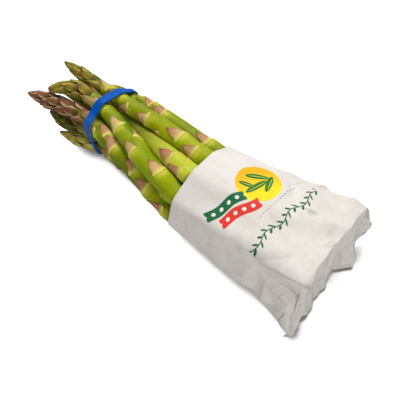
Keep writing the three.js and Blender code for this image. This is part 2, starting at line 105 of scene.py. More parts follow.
def slice_centre(points, triangles, x):
    """Centroid of the section at x by Green's theorem: sum((p + q) (p x q)) / (3 sum(p x q))."""
    corners = points[triangles]
    above = corners[:, :, 0] > x
    cut = above.any(1) & ~above.all(1)
    corners, above = corners[cut], above[cut]
    lone = np.argmax(above == (above.sum(1) == 1)[:, None], axis=1)
    rows = np.arange(len(lone))
    apex = corners[rows, lone]
    ends = []
    for step in (1, 2):
        other = corners[rows, (lone + step) % 3]
        share = ((x - apex[:, 0]) / (other[:, 0] - apex[:, 0]))[:, None]
        ends.append((apex + share * (other - apex))[:, 1:])
    flip = above[rows, lone][:, None]
    p, q = np.where(flip, ends[0], ends[1]), np.where(flip, ends[1], ends[0])
    cross = p[:, 0] * q[:, 1] - p[:, 1] * q[:, 0]
    return ((p + q) * cross[:, None]).sum(0) / (3.0 * cross.sum())


def smooth_line(values, stiffness, hold):
    """Whittaker smoothing: solves (W + k D'D) z = W y with D the second difference."""
    n = len(values)
    second = np.diff(np.eye(n), 2, axis=0)
    weights = np.ones(n)
    weights[[0, -1]] = hold
    matrix = np.diag(weights) + stiffness * second.T @ second
    return np.linalg.solve(matrix, weights[:, None] * values)


def travel(line):
    """Distance along the line at each of its points: the running sum of |next - here|."""
    return np.concatenate([[0], np.cumsum(np.linalg.norm(np.diff(line, axis=0), axis=1))])


SLICES = 72
# how far the first and last slices lie from the node's ends, and the skin's butt from the cut face
BUTT_INSET, TIP_INSET, SKIN_INSET = 2.5, 6.0, 0.7


def read_spear(name):
    """The spear's centre line at each millimetre from the butt, with its side and lift directions.

    It joins the centroids of the node's slices, is carried on to the butt and the tip, and smoothed.
    """
    points, triangles = cad_mesh(name)
    tip = points[np.argmin(points[:, 0])]
    butt_x = points[:, 0].max()
    xs = np.linspace(butt_x - BUTT_INSET, tip[0] + TIP_INSET, SLICES)
    line = np.array([[x, *slice_centre(points, triangles, x)] for x in xs])
    step = line[0] - line[3]
    butt = line[0] + step * (butt_x - SKIN_INSET - xs[0]) / step[0]
    line = smooth_line(np.vstack([butt, line, tip]), stiffness=6.0, hold=30.0)
    travelled = travel(line)
    s = np.linspace(0, travelled[-1], int(travelled[-1]))
    centre = np.stack([np.interp(s, travelled, column) for column in line.T], 1)
    centre = smooth_line(centre, stiffness=40.0, hold=100.0)
    along = np.gradient(centre, axis=0)
    along /= np.linalg.norm(along, axis=1)[:, None]
    side = np.cross(along, [0, 0, 1.0])
    side /= np.linalg.norm(side, axis=1)[:, None]
    lift = np.cross(side, along)
    girth, first, turn, bracts = SPEARS[name]
    return {
        "name": name,
        "s": s,
        "length": s[-1],
        "table": np.hstack([centre, side, lift]),
        "girth": girth,
        "first": first,
        "turn": math.radians(turn),
        "bracts": bracts,
    }


spears = [read_spear(name) for name in SPEARS]


def full_radius(spear, s):
    """Radius over the scales: girth x stalk taper x sin(90 t / HEAD_TAPER)^bluntness x swell.

    s runs from the butt and t from the tip. The stalk tapers evenly in the sleeve, and from its mouth
    to the band as f (1 + fullness (1 - f)).
    """
    from_tip = spear["length"] - s
    behind = SLEEVED_LENGTH - s
    covered = lerp(MOUTH_RADIUS, BUTT_RADIUS, np.clip(behind / SLEEVED_LENGTH, 0, 1))
    freed = np.clip(1 + behind / BANDED_LENGTH, 0, 1)
    free = lerp(NECK_RADIUS, MOUTH_RADIUS, freed * (1 + STALK_FULLNESS * (1 - freed)))
    stalk = np.where(behind > 0, covered, free) * spear["girth"]
    bluntness = BLUNTER_HEADS.get(spear["name"], HEAD_BLUNTNESS)
    taper = np.sin(0.5 * np.pi * np.clip(from_tip / HEAD_TAPER, 0, 1)) ** bluntness
    swell = lerp(HEAD_SWELL, 1.0, smoothstep(from_tip, HEAD_TAPER, HEAD_LENGTH))
    return np.where(from_tip > HEAD_LENGTH, stalk, stalk * taper * swell)


def head_cover(spear, s):
    """Thickness that the head's scales add to its core."""
    from_tip = spear["length"] - s
    full = HEAD_COVER * (1 - smoothstep(from_tip, HEAD_TAPER, HEAD_LENGTH))
    return full * np.minimum(1, full_radius(spear, s) / NECK_RADIUS)


def core_radius(spear, s):
    """Radius under the scales: the full radius less the head's cover, and never less than the tip's."""
    return np.maximum(TIP_RADIUS, full_radius(spear, s) - head_cover(spear, s))


def on_spear(spear, s, angle, height):
    """Point at s from the butt: c + (core radius + height) (side cos a + lift sin a)."""
    row = np.stack([np.interp(s, spear["s"], column) for column in spear["table"].T], -1)
    radius = (core_radius(spear, s) + height)[..., None]
    around = row[..., 3:6] * np.cos(angle)[..., None] + row[..., 6:9] * np.sin(angle)[..., None]
    return row[..., :3] + radius * around


def circles_at(x):
    """Centre (y, z) and radius of every spear that crosses the plane at x."""
    found = []
    for spear in spears:
        xs = spear["table"][:, 0]
        if x > xs[-1]:
            s = np.interp(-x, -xs, spear["s"])
            y, z = (np.interp(s, spear["s"], spear["table"][:, k]) for k in (1, 2))
            found.append((y, z, float(core_radius(spear, np.array(s)))))
    return np.array(found)


BAND_X = -61.5 + SHIFT_X
BAND_WIDTH = 6.4
BAND_THICKNESS = 1.0
BAND_LEAN = -0.12
BAND_GAP = 0.32
MIDDLE_Z = 20.0
SLEEVE_START_X = 20.0
TABLE_GAP, NEIGHBOUR_GAP = 0.25, 0.1
# how far from the band's edge a scale starts to rise and may stand free, and how high it then is
RISING_FROM_BAND, FREE_FROM_BAND, FREE_HEIGHT = 0.8, 2.6, 3.0
PAPER_LAP, HEIGHT_IN_PAPER = 1.5, 0.6
NO_LIMIT = 1e9


def band_centre_x(z):
    """The band leans: its middle lies at BAND_X + lean (z - MIDDLE_Z)."""
    return BAND_X + BAND_LEAN * (z - MIDDLE_Z)


def headroom(spear, points):
    """Height that a scale may have at points on the stalk: the least of what lies around it.

    That is the height over the table, half the gap to each neighbour, nothing under the band and
    little under the paper.
    """
    room = points[..., 2] - TABLE_GAP
    for other in spears:
        if other is not spear:
            samples = other["table"][::3, :3]
            reach = full_radius(other, other["s"][::3])
            apart = np.linalg.norm(points[..., None, :] - samples, axis=-1) - reach
            room = np.minimum(room, apart.min(-1) * 0.5 - NEIGHBOUR_GAP)
    x, z = points[..., 0], points[..., 2]
    from_band = np.abs(x - band_centre_x(z)) - BAND_WIDTH / 2
    clear = smoothstep(from_band, RISING_FROM_BAND, FREE_FROM_BAND)
    room = np.minimum(room, lerp(-NEIGHBOUR_GAP, FREE_HEIGHT, clear))
    in_paper = x > SLEEVE_START_X + SHIFT_X - PAPER_LAP
    return np.minimum(room, np.where(in_paper, HEIGHT_IN_PAPER, NO_LIMIT))


# ---- Spears: scale leaves and stalk -------------------------------------------------------------
# Scales sit in a golden-angle spiral, far apart on the stalk and tile on tile in the head. Each is a
# thin papery triangle with a thick pale foot that stands out from the stalk at its node.

GOLDEN_TURN = math.radians(137.5)
MEAN_RADIUS = 6.5
BLADE_S = np.array([0.0, 0.05, 0.12, 0.25, 0.4, 0.55, 0.7, 0.84, 0.94, 1.0])
BLADE_A = np.array([-1.0, -0.85, -0.5, 0.0, 0.5, 0.85, 1.0])
FOOT_PROFILE = np.array([-0.4, 0.72, 1.0, 0.62, 0.44, 0.4, 0.4, 0.42, 0.45, 0.5])
LOOSE_TIPS = {"spear_05": 2.4, "spear_07": 1.0, "spear_02": 0.4}
# how far the close scales reach behind the swollen head, or stop short of its end
SCALED_FURTHER = {"spear_05": 22.0, "spear_01": -16.0}
# from one scale to the next: at the foot and the tip of the head, at the butt and the top of the stalk
HEAD_STEPS, STALK_STEPS = (4.8, 0.75), (20.0, 6.0)
# how far the spiral's own scales keep from the first and last of those given for the bare stalk
CLEAR_BEHIND, CLEAR_AHEAD = 8.0, 5.5
# how far behind the close scales the head begins to tell, and how far from the tip the last scale is
HEAD_ONSET, LAST_GAP = 6.0, 2.0


def grid_faces(rows, columns, closed):
    """Quads of a grid of rows x columns points; closed joins the last column to the first."""
    across = columns if closed else columns - 1
    i, k = np.meshgrid(np.arange(rows - 1), np.arange(across), indexing="ij")
    here = i * columns + k
    beside = i * columns + (k + 1) % columns
    return np.stack([here, beside, beside + columns, here + columns], -1).reshape(-1, 4)


def make_object(name, points, faces, smooth_angle, uv=None, values=None):
    """A mesh object from points in millimetres and quads or triangles, with its attributes."""
    mesh = bpy.data.meshes.new(name)
    corners = faces.shape[1]
    mesh.vertices.add(len(points))
    mesh.vertices.foreach_set("co", (points * MM).astype(np.float32).ravel())
    mesh.loops.add(faces.size)
    mesh.loops.foreach_set("vertex_index", faces.astype(np.int32).ravel())
    mesh.polygons.add(len(faces))
    starts = np.arange(0, faces.size, corners, dtype=np.int32)
    mesh.polygons.foreach_set("loop_start", starts)
    mesh.polygons.foreach_set("use_smooth", np.ones(len(faces), dtype=bool))
    mesh.update(calc_edges=True)
    if uv is not None:
        layer = mesh.uv_layers.new(name="UVMap")
        layer.data.foreach_set("uv", uv[faces.ravel()].astype(np.float32).ravel())
    for key, value in (values or {}).items():
        kind = "FLOAT_VECTOR" if value.ndim == 2 else "FLOAT"
        attribute = mesh.attributes.new(key, kind, "POINT")
        field = "vector" if value.ndim == 2 else "value"
        attribute.data.foreach_set(field, value.astype(np.float32).ravel())
    mesh.validate()
    mesh.set_sharp_from_angle(angle=math.radians(smooth_angle))
    thing = bpy.data.objects.new(name, mesh)
    bpy.context.scene.collection.objects.link(thing)
    return thing


def mount(thing, node, material):
    """The piece stands for its CAD node and moves with the bunch."""
    thing.data.materials.append(material)
    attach(thing, "root")
    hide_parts(node)


def scaled_length(spear):
    """How far behind the tip the close scales begin."""
    return HEAD_LENGTH + SCALED_FURTHER.get(spear["name"], 0.0)


def scale_places(spear):
    """Distance, turn and head share of every scale: a turn of 137.5 degrees each, ever closer.

    The share is (at - neck + onset) / (scaled + onset - last gap), from 0 on the stalk to 1 at the tip.
    """
    scaled = scaled_length(spear)
    neck = spear["length"] - scaled
    bracts = spear["bracts"]
    bare_from = bracts[0][0] - CLEAR_BEHIND if bracts else math.inf
    bare_to = bracts[-1][0] + CLEAR_AHEAD if bracts else -math.inf
    at, angle = float(spear["first"]), spear["turn"]
    places = [(float(s), math.radians(turn), 0.0) for s, turn in bracts]
    while at < spear["length"] - LAST_GAP:
        share = float(np.clip((at - neck + HEAD_ONSET) / (scaled + HEAD_ONSET - LAST_GAP), 0, 1))
        if not bare_from < at < bare_to:
            places.append((at, angle, share))
        angle -= GOLDEN_TURN
        if share > 0:
            at += lerp(*HEAD_STEPS, share**0.5)
        else:
            at += lerp(*STALK_STEPS, math.sqrt(max(at, 0) / neck))
    return places


def bell(x, reach):
    """1 at x = 0, falling off both ways: exp(-(x / reach)^2)."""
    return np.exp(-((x / reach) ** 2))


def arch(x, reach):
    """1 at x = 0 and nothing past reach: cos(90 x / reach)."""
    return np.cos(np.clip(x / reach, -1, 1) * 0.5 * np.pi)


OVAL_HEIGHT, LOBE_HEIGHT = 0.09, 0.06
BARE_SHARE = 0.15
# a node's swelling: all round and more under its scale, how far round, below and above it reaches
KNEE_HEIGHT, KNEE_UNDER_SCALE, KNEE_TURN = 0.4, 0.85, 1.25
KNEE_BELOW, KNEE_ABOVE = 8.0, 1.6
HOLLOW_DEPTH, HOLLOW_AT, HOLLOW_REACH = 0.55, 9.0, 5.0
GLOW_REACH = 11.0
COLLAR_TURN, COLLAR_BELOW, COLLAR_ABOVE = 0.85, 2.6, 3


def relief(spear, places, s, angle):
    """Height of the stalk's skin, the pale collar at each node's foot and the lighter green below it.

    Each node adds a bell along the stalk times an arch round it, less a hollow behind its scale.
    """
    height = OVAL_HEIGHT * np.cos(2 * angle + spear["turn"])
    height = height + LOBE_HEIGHT * np.cos(3 * angle + 2 + s / 40)
    collar, glow = np.zeros_like(s), np.zeros_like(s)
    for at, turn, share in places:
        apart = (angle - turn + np.pi) % (2 * np.pi) - np.pi
        below = at - s + apart**2
        if share < BARE_SHARE:
            window = arch(apart, KNEE_TURN)
            knee = np.where(below > 0, bell(below, KNEE_BELOW), bell(below, KNEE_ABOVE))
            height = height + (KNEE_HEIGHT + KNEE_UNDER_SCALE * window) * knee
            height = height - HOLLOW_DEPTH * window * bell(below + HOLLOW_AT, HOLLOW_REACH)
            glow = np.maximum(glow, window * (below > 0) * bell(below, GLOW_REACH))
        near = bell(np.maximum(below, 0), COLLAR_BELOW) * (below > -COLLAR_ABOVE)
        collar = np.maximum(collar, arch(apart, COLLAR_TURN) * near)
    return height, collar, glow


# a scale on the stalk and one in the head: half its width, how full its outline is, how far its foot
# arches, its edge is torn and it bends aside, how much lower its edges are, how high its under side is
STALK_SCALE = {
    "half": 5.3, "full": 0.35, "arch": 0.1, "torn": 0.035, "bend": 0.3, "crown": 0.4, "under": -0.3,
}
HEAD_SCALE = {
    "half": 3.4, "full": 1.5, "arch": 0.16, "torn": 0.02, "bend": 0.2, "crown": 0.3, "under": 0.4,
}
STALK_SCALE_LENGTH, LOWEST_HEAD_LENGTH, TOP_HEAD_LENGTH = 12.5, 17.0, 7.5
WIDEST_HALF_TURN = 1.25
LENGTH_SPREAD, WIDTH_SPREAD = 0.12, 0.14
FOOT_SINK = 0.5


def turns_from_below(count):
    """Even turns once round, from straight down: 90 degrees is up."""
    return np.linspace(-0.5 * np.pi, 1.5 * np.pi, count, endpoint=False)


def blade(spear, places, at, angle, share, random):
    """One closed scale, w = (1 - s)(1 + full s) wide, its foot arched by a^2 and its middle proud.

    s runs along it and a from edge to edge. On the stalk it lies on the skin's relief, in the head on
    the scales behind it, and it is never higher than its headroom.
    """
    in_head = float(smoothstep(share, 0.0, 0.3))
    form = {key: lerp(STALK_SCALE[key], HEAD_SCALE[key], in_head) for key in HEAD_SCALE}
    s, a = np.meshgrid(BLADE_S, BLADE_A, indexing="ij")
    length = lerp(STALK_SCALE_LENGTH, lerp(LOWEST_HEAD_LENGTH, TOP_HEAD_LENGTH, share), in_head)
    length = length * (1 + LENGTH_SPREAD * random.uniform(-1, 1))
    length = min(length, spear["length"] - at - 0.3)
    girth = float(full_radius(spear, np.array(at + 0.3 * length)))
    half = form["half"] * (1 + WIDTH_SPREAD * random.uniform(-1, 1)) / max(girth, 1.0)
    half = min(WIDEST_HALF_TURN, half)
    width = np.maximum((1 - s) * (1 + form["full"] * s), 0.02)
    phase = random.uniform(0, 6)
    torn = form["torn"] * np.sin(5.0 * a + 9.0 * s + phase)
    place = at + length * (s + form["arch"] * a * a * (1 - s) + torn * (1 - s))
    bend = form["bend"] * random.uniform(-1, 1)
    turn = angle + a * half * width * (1 + 0.12 * np.sin(7.0 * s + phase)) + bend * s**1.5
    foot = np.interp(s, BLADE_S, FOOT_PROFILE) * (0.95 + 0.2 * np.sin(4.0 * a + phase))
    loose = LOOSE_TIPS.get(spear["name"], 0.0) * random.uniform(0, 1) * (1 - share)
    tiled = head_cover(spear, place) * (0.25 + 0.78 * s) + 0.3 * smoothstep(s, 0, 0.15)
    tiled = tiled + loose * smoothstep(s, 0.45, 1.0)
    height = lerp(foot, tiled, in_head) * (1 - form["crown"] * a * a)
    height = height + (1 - in_head) * np.maximum(relief(spear, places, place, turn)[0], 0)
    skin = on_spear(spear, place, turn, np.zeros_like(place))
    height = np.minimum(height, headroom(spear, skin))
    lower = np.minimum(height - 0.2, form["under"] * height)
    lower[0] = np.minimum(lower[0], -FOOT_SINK)
    slim = np.minimum(1.0, core_radius(spear, place) / 2.0)
    top = on_spear(spear, place, turn, height)
    under = on_spear(spear, place, turn, lower * slim)
    rows, columns = s.shape
    size = rows * columns
    upper_faces = grid_faces(rows, columns, False)
    under_faces = upper_faces[:, ::-1] + size
    index = np.arange(size).reshape(rows, columns)
    loop = np.concatenate([index[0], index[1:, -1], index[-1, -2::-1], index[-2:0:-1, 0]])
    after = np.roll(loop, -1)
    rim = np.stack([after, loop, loop + size, after + size], 1)
    leaf = np.stack([np.ones(size), s.ravel(), np.abs(a).ravel()], 1)
    tone = np.tile([random.uniform(), share, 0.0], (size, 1))
    uv = np.stack([(turn * MEAN_RADIUS).ravel(), place.ravel()], 1)
    return {
        "points": np.vstack([top.reshape(-1, 3), under.reshape(-1, 3)]),
        "faces": np.vstack([upper_faces, under_faces, rim]),
        "leaf": np.vstack([leaf, leaf]),
        "tone": np.vstack([tone, tone]),
        "uv": np.vstack([uv, uv]),
    }


FINE_SIDES, COARSE_SIDES = 72, 32
FINE_STEP, COARSE_STEP, HIDDEN_STEP = 0.9, 2.5, 3.0
COVERED_LENGTH, UNSCALED_LENGTH = 80, 60
TIP_RINGS = np.array([4.0, 3.2, 2.4, 1.7, 1.1, 0.6, 0.25])


def stalk(spear, places, fine):
    """The stalk's skin: rings of c + (core radius + relief) (cos a, sin a), with a fan at each end."""
    sides = FINE_SIDES if fine else COARSE_SIDES
    s = np.concatenate([
        np.arange(0, COVERED_LENGTH, HIDDEN_STEP),
        np.arange(COVERED_LENGTH, spear["length"] - TIP_RINGS[0], FINE_STEP if fine else COARSE_STEP),
        spear["length"] - TIP_RINGS,
    ])
    s, angle = np.meshgrid(s, turns_from_below(sides), indexing="ij")
    height, collar, glow = relief(spear, places, s, angle)
    height *= np.minimum(1, core_radius(spear, s) / NECK_RADIUS)
    skin = on_spear(spear, s, angle, np.zeros_like(s))
    height = np.minimum(height, headroom(spear, skin) + NEIGHBOUR_GAP)
    points = on_spear(spear, s, angle, height).reshape(-1, 3)
    rings = s.shape[0]
    ends = np.vstack([spear["table"][0, :3], spear["table"][-1, :3]])
    k = np.arange(sides)
    after = (k + 1) % sides
    count = rings * sides
    last = (rings - 1) * sides
    butt = np.stack([np.full(sides, count), after, k], 1)
    tip = np.stack([np.full(sides, count + 1), last + k, last + after], 1)
    scaled = scaled_length(spear)
    share = np.clip((s - spear["length"] + scaled) / scaled, 0, 1)
    tone = np.stack([glow.ravel(), share.ravel(), collar.ravel()], 1)
    uv = np.stack([(angle * MEAN_RADIUS).ravel(), s.ravel()], 1)
    return {
        "points": np.vstack([points, ends]),
        "faces": grid_faces(rings, sides, True),
        "caps": np.vstack([butt, tip]),
        "leaf": np.zeros((count + 2, 3)),
        "tone": np.vstack([tone, [[0.5, 0, 0], [0.5, 1, 0]]]),
        "uv": np.vstack([uv, [[0, 0], [0, spear["length"]]]]),
    }


def spear_object(spear, material, fine):
    """Stalk and scales in one mesh; caps are triangles, so all faces are made triangles."""
    random = np.random.default_rng(int(spear["name"][-2:]) * 17)
    places = scale_places(spear)
    parts = [stalk(spear, places, fine)]
    shown = [place for place in places if fine or place[0] > UNSCALED_LENGTH]
    parts += [blade(spear, places, *place, random) for place in shown]
    triangles, start = [], 0
    for part in parts:
        quads = part["faces"] + start
        triangles += [quads[:, [0, 1, 2]], quads[:, [0, 2, 3]]]
        if "caps" in part:
            triangles.append(part["caps"] + start)
        start += len(part["points"])
    keys = ("points", "leaf", "tone", "uv")
    points, leaf, tone, uv = (np.vstack([part[key] for part in parts]) for key in keys)
    thing = make_object(
        spear["name"] + "_skin",
        points,
        np.vstack(triangles),
        smooth_angle=38,
        uv=uv,
        values={"leaf": leaf, "tone": tone},
    )
    mount(thing, spear["name"], material)


# ---- Spears: skin -------------------------------------------------------------------------------
# The skin is a waxy yellow-green with fine lengthwise ribs, paler towards the butt and at the feet of
# the scales. The scales dry to tan and mauve; those of the head keep the tints of their own spear.


def srgb(red, green, blue):
    """Linear colour of an 8-bit screen colour: ((c + 0.055) / 1.055) ^ 2.4."""
    c = np.array([red, green, blue]) / 255.0
    linear = np.where(c < 0.04045, c / 12.92, ((c + 0.055) / 1.055) ** 2.4)
    return (*linear.tolist(), 1.0)


class Nodes:
    """Short ways of adding and linking shader nodes in one node tree."""

    def __init__(self, tree):
        """Keep the tree that the nodes go into."""
        self.tree = tree

    def add(self, kind, settings=None, **inputs):
        """A node with its settings; its inputs go by name, or by place as i0, i1 and so on."""
        node = self.tree.nodes.new(kind)
        for key, value in (settings or {}).items():
            setattr(node, key, value)
        for key, value in inputs.items():
            self.set(node.inputs[int(key[1:]) if key[1:].isdigit() else key], value)
        return node

    def set(self, socket, value):
        """Link a socket to another node's output, or give it a plain value."""
        if isinstance(value, bpy.types.NodeSocket):
            self.tree.links.new(value, socket)
        else:
            socket.default_value = value

    def fill(self, node, inputs):
        """Link or give several inputs of a node by name."""
        for label, value in inputs.items():
            self.set(node.inputs[label], value)

    def math(self, operation, a, b=0.0, clamp=False):
        """The operation on a and b, kept between 0 and 1 if clamped."""
        settings = {"operation": operation, "use_clamp": clamp}
        return self.add("ShaderNodeMath", settings, i0=a, i1=b).outputs[0]

    def plus(self, a, b, clamp=False):
        """a + b"""
        return self.math("ADD", a, b, clamp)

    def minus(self, a, b):
        """a - b"""
        return self.math("SUBTRACT", a, b)

    def times(self, a, b, clamp=False):
        """a x b"""
        return self.math("MULTIPLY", a, b, clamp)

    def mix(self, share, a, b):
        """Colour between a and b: a + (b - a) share."""
        node = self.add("ShaderNodeMix", {"data_type": "RGBA"})
        self.set(node.inputs[0], share)
        self.set(node.inputs[6], a)
        self.set(node.inputs[7], b)
        return node.outputs[2]

    def ramp(self, value, low, high, out_low=0.0, out_high=1.0):
        """out_low where the value is low, out_high where it is high, and a smoothstep between."""
        settings = {"interpolation_type": "SMOOTHSTEP"}
        node = self.add("ShaderNodeMapRange", settings, i0=value, i1=low, i2=high)
        self.set(node.inputs[3], out_low)
        self.set(node.inputs[4], out_high)
        return node.outputs[0]

    def noise(self, vector, scale, detail=2.0, rough=0.5):
        """Cloudy noise between 0 and 1, with so many grains a unit."""
        inputs = {"Vector": vector, "Scale": scale, "Detail": detail, "Roughness": rough}
        return self.add("ShaderNodeTexNoise", None, **inputs).outputs[0]

    def facets(self, vector, scale):
        """Distance to the nearest edge between cells: flat facets that meet in straight lines."""
        settings = {"feature": "DISTANCE_TO_EDGE"}
        return self.add("ShaderNodeTexVoronoi", settings, Vector=vector, Scale=scale).outputs[0]

    def stretch(self, vector, x, y):
        """The vector with its x and y multiplied."""
        return self.add("ShaderNodeMapping", None, Vector=vector, Scale=(x, y, 1.0)).outputs[0]

    def parts(self, vector):
        """The x, y and z of a vector."""
        return self.add("ShaderNodeSeparateXYZ", None, i0=vector).outputs

    def attribute(self, name, output="Vector"):
        """A value that the mesh carries at its points."""
        return self.add("ShaderNodeAttribute", {"attribute_name": name}).outputs[output]

    def place(self):
        """Where the point is on the object, in metres."""
        return self.add("ShaderNodeTexCoord").outputs["Object"]

    def bump(self, height, distance, strength, normal=None):
        """Normal of a surface raised by height x distance."""
        node = self.add("ShaderNodeBump", None, Height=height, Distance=distance, Strength=strength)
        if normal is not None:
            self.set(node.inputs["Normal"], normal)
        return node.outputs[0]


def new_material(name):
    """A material with an empty tree but for its surface shader and output."""
    material = bpy.data.materials.new(name)
    material.use_nodes = True
    material.node_tree.nodes.clear()
    nodes = Nodes(material.node_tree)
    shader = nodes.add("ShaderNodeBsdfPrincipled")
    output = nodes.add("ShaderNodeOutputMaterial")
    nodes.set(output.inputs["Surface"], shader.outputs[0])
    return material, nodes, shader


def new_group(name, colours, outputs):
    """A shader group with colour inputs and the given outputs; returns it, its nodes and its ends."""
    group = bpy.data.node_groups.new(name, "ShaderNodeTree")
    for label in colours:
        group.interface.new_socket(label, in_out="INPUT", socket_type="NodeSocketColor")
    for label, kind in outputs.items():
        group.interface.new_socket(label, in_out="OUTPUT", socket_type=kind)
    nodes = Nodes(group)
    return group, nodes, nodes.add("NodeGroupInput"), nodes.add("NodeGroupOutput")


TINTS = ["Flesh", "Pale flesh", "Scale", "Mauve", "Head", "Head edge", "Head tip"]
skin_group, n, tint, skin_end = new_group(
    "asparagus skin",
    TINTS,
    {"Colour": "NodeSocketColor", "Roughness": "NodeSocketFloat", "Ribs": "NodeSocketFloat"},
)
is_scale, along_scale, off_middle = n.parts(n.attribute("leaf"))
# shade is a drawn number on a scale, and on the stalk the lighter green below each scale's foot
shade, head_share, collar = n.parts(n.attribute("tone"))
skin_uv = n.attribute("UVMap")
from_butt = n.parts(skin_uv)[1]
skin_place = n.place()
ribs = n.noise(n.stretch(skin_uv, 1.5, 0.05), 1.0)
fine_ribs = n.noise(n.stretch(skin_uv, 4.5, 0.16), 1.0, detail=1.0)
cloud = n.noise(skin_place, 90.0)
patches = n.noise(skin_place, 260.0, detail=3.0, rough=0.6)

# The bare stalk: paler to the butt, fresher green near the head, pale yellow under each scale's foot, and a
# painted dark shade on the core under the head's scales
SUNNY, FOOT_GLOW, RIB_GREEN = srgb(172, 172, 4), srgb(190, 192, 20), srgb(80, 100, 0)
COLLAR_PALE, PAINTED_SHADE_UNDER_SCALES = srgb(204, 202, 62), srgb(52, 46, 14)
flesh = n.mix(n.ramp(from_butt, 165.0, 92.0), tint.outputs["Flesh"], tint.outputs["Pale flesh"])
flesh = n.mix(n.ramp(cloud, 0.45, 0.7, 0.0, 0.25), flesh, SUNNY)
flesh = n.mix(n.times(shade, 0.4), flesh, FOOT_GLOW)
flesh = n.mix(n.ramp(ribs, 0.45, 0.75, 0.0, 0.26), flesh, RIB_GREEN)
flesh = n.mix(n.times(collar, 0.75), flesh, COLLAR_PALE)
# painted shade in the gaps between the head's scales
flesh = n.mix(n.ramp(head_share, 0.12, 0.4), flesh, PAINTED_SHADE_UNDER_SCALES)

# A scale on the stalk: pale foot, tan blade that reddens to its edges and tip
DRY_EDGE, DRY_TIP = srgb(136, 80, 52), srgb(124, 66, 48)
SCALE_VEIN, PALE_FOOT = srgb(120, 92, 60), srgb(214, 206, 96)
reddening = n.plus(n.times(shade, 0.9), n.times(along_scale, 0.45))
reddening = n.plus(reddening, n.times(off_middle, 0.2))
reddening = n.plus(reddening, n.ramp(patches, 0.3, 0.7, -0.75, -0.25), clamp=True)
bract = n.mix(reddening, tint.outputs["Scale"], tint.outputs["Mauve"])
bract = n.mix(n.ramp(off_middle, 0.7, 1.0, 0.0, 0.7), bract, DRY_EDGE)
bract = n.mix(n.ramp(along_scale, 0.6, 1.0, 0.0, 0.75), bract, DRY_TIP)
bract = n.mix(n.ramp(fine_ribs, 0.5, 0.7, 0.0, 0.3), bract, SCALE_VEIN)
from_foot = n.plus(along_scale, n.times(n.minus(ribs, 0.5), 0.16))
bract = n.mix(n.ramp(from_foot, 0.06, 0.36), PALE_FOOT, bract)

# A scale of the head: its own tint, a painted shade at its root where the scale below covers it, a dry
# margin and a browner tip
PAINTED_ROOT_SHADE, HEAD_VEIN = srgb(58, 50, 16), srgb(56, 50, 12)
margin = n.ramp(off_middle, 0.45, 0.95)
head = n.mix(n.times(margin, 0.95), tint.outputs["Head"], tint.outputs["Head edge"])
head = n.mix(n.ramp(along_scale, 0.45, 0.1, 0.0, 0.65), head, PAINTED_ROOT_SHADE)
browning = n.plus(n.ramp(along_scale, 0.5, 1.0, 0.0, 0.7), n.ramp(patches, 0.45, 0.75, 0.0, 0.5))
browning = n.times(browning, n.plus(shade, 0.35), clamp=True)
head = n.mix(browning, head, tint.outputs["Head tip"])
head = n.mix(n.ramp(head_share, 0.8, 1.0, 0.0, 0.7), head, tint.outputs["Head tip"])
head = n.mix(n.ramp(fine_ribs, 0.4, 0.7, 0.0, 0.45), head, HEAD_VEIN)
scale_colour = n.mix(n.ramp(head_share, 0.05, 0.3), bract, head)
n.fill(skin_end, {
    "Colour": n.mix(is_scale, flesh, scale_colour),
    "Roughness": n.plus(n.times(is_scale, 0.14), n.ramp(cloud, 0.3, 0.7, 0.36, 0.5)),
    "Ribs": n.plus(ribs, n.times(fine_ribs, 0.5)),
})


def skin_material(name, *tints):
    """Asparagus skin in one spear's own tints, given as 8-bit screen colours."""
    material, nodes, shader = new_material(name)
    skin = nodes.add("ShaderNodeGroup", {"node_tree": skin_group})
    nodes.fill(skin, {label: srgb(*colour) for label, colour in zip(TINTS, tints)})
    nodes.fill(shader, {
        "Base Color": skin.outputs["Colour"],
        "Roughness": skin.outputs["Roughness"],
        "Normal": nodes.bump(skin.outputs["Ribs"], distance=0.00022, strength=0.55),
        "Specular IOR Level": 0.1,
        "Subsurface Weight": 0.06,
        "Subsurface Radius": (0.9, 1.0, 0.25),
        "Subsurface Scale": 0.0016,
    })
    return material


TAN, SALMON, MAUVE, ROSE = (212, 184, 118), (194, 150, 104), (168, 102, 82), (176, 98, 88)
SPEAR_TINTS = {
    "spear_01": [(112, 130, 0), (128, 146, 0), SALMON, MAUVE, (136, 132, 40), (186, 166, 84), (116, 74, 44)],
    "spear_02": [(124, 138, 0), (156, 168, 2), TAN, MAUVE, (138, 124, 30), (208, 192, 84), (104, 66, 36)],
    # spear_03's dark Flesh is painted shade: its upper stalk lies deep in the bunch, under its neighbours
    "spear_03": [(22, 28, 0), (196, 202, 60), SALMON, ROSE, (146, 166, 26), (196, 190, 80), (120, 104, 34)],
    "spear_04": [(92, 126, 0), (140, 158, 0), TAN, SALMON, (146, 134, 34), (216, 194, 100), (126, 84, 46)],
    "spear_05": [(84, 112, 0), (98, 120, 0), SALMON, MAUVE, (130, 86, 58), (222, 182, 136), (102, 52, 50)],
    "spear_06": [(92, 106, 0), (90, 102, 0), SALMON, MAUVE, (198, 188, 84), (220, 206, 120), (140, 104, 56)],
    "spear_07": [(72, 90, 0), (86, 100, 0), SALMON, MAUVE, (86, 94, 8), (164, 158, 62), (54, 50, 14)],
}
HIDDEN_TINTS = [(96, 112, 4), (96, 112, 4), SALMON, MAUVE, (110, 106, 30), (142, 132, 60), (96, 70, 38)]
for spear in spears:
    tints = SPEAR_TINTS.get(spear["name"], HIDDEN_TINTS)
    spear_object(spear, skin_material(spear["name"] + "_skin", *tints), spear["name"] in SPEAR_TINTS)


# ---- Rubber band --------------------------------------------------------------------------------
# A flat loop of moulded blue rubber, stretched round the bunch behind the heads. It lies full width
# over the top, is rolled narrow where it turns under at the near side and passes under the bunch.

# how far from its middle the band touches the spears
BAND_REACH = 3.6
BAND_MIDDLE_Y = 3.0 + SHIFT_Y
BAND_STEPS, BAND_SIDES = 240, 20
BAND_STATIONS = np.arange(-76.0, -46.0, 1.5) + SHIFT_X
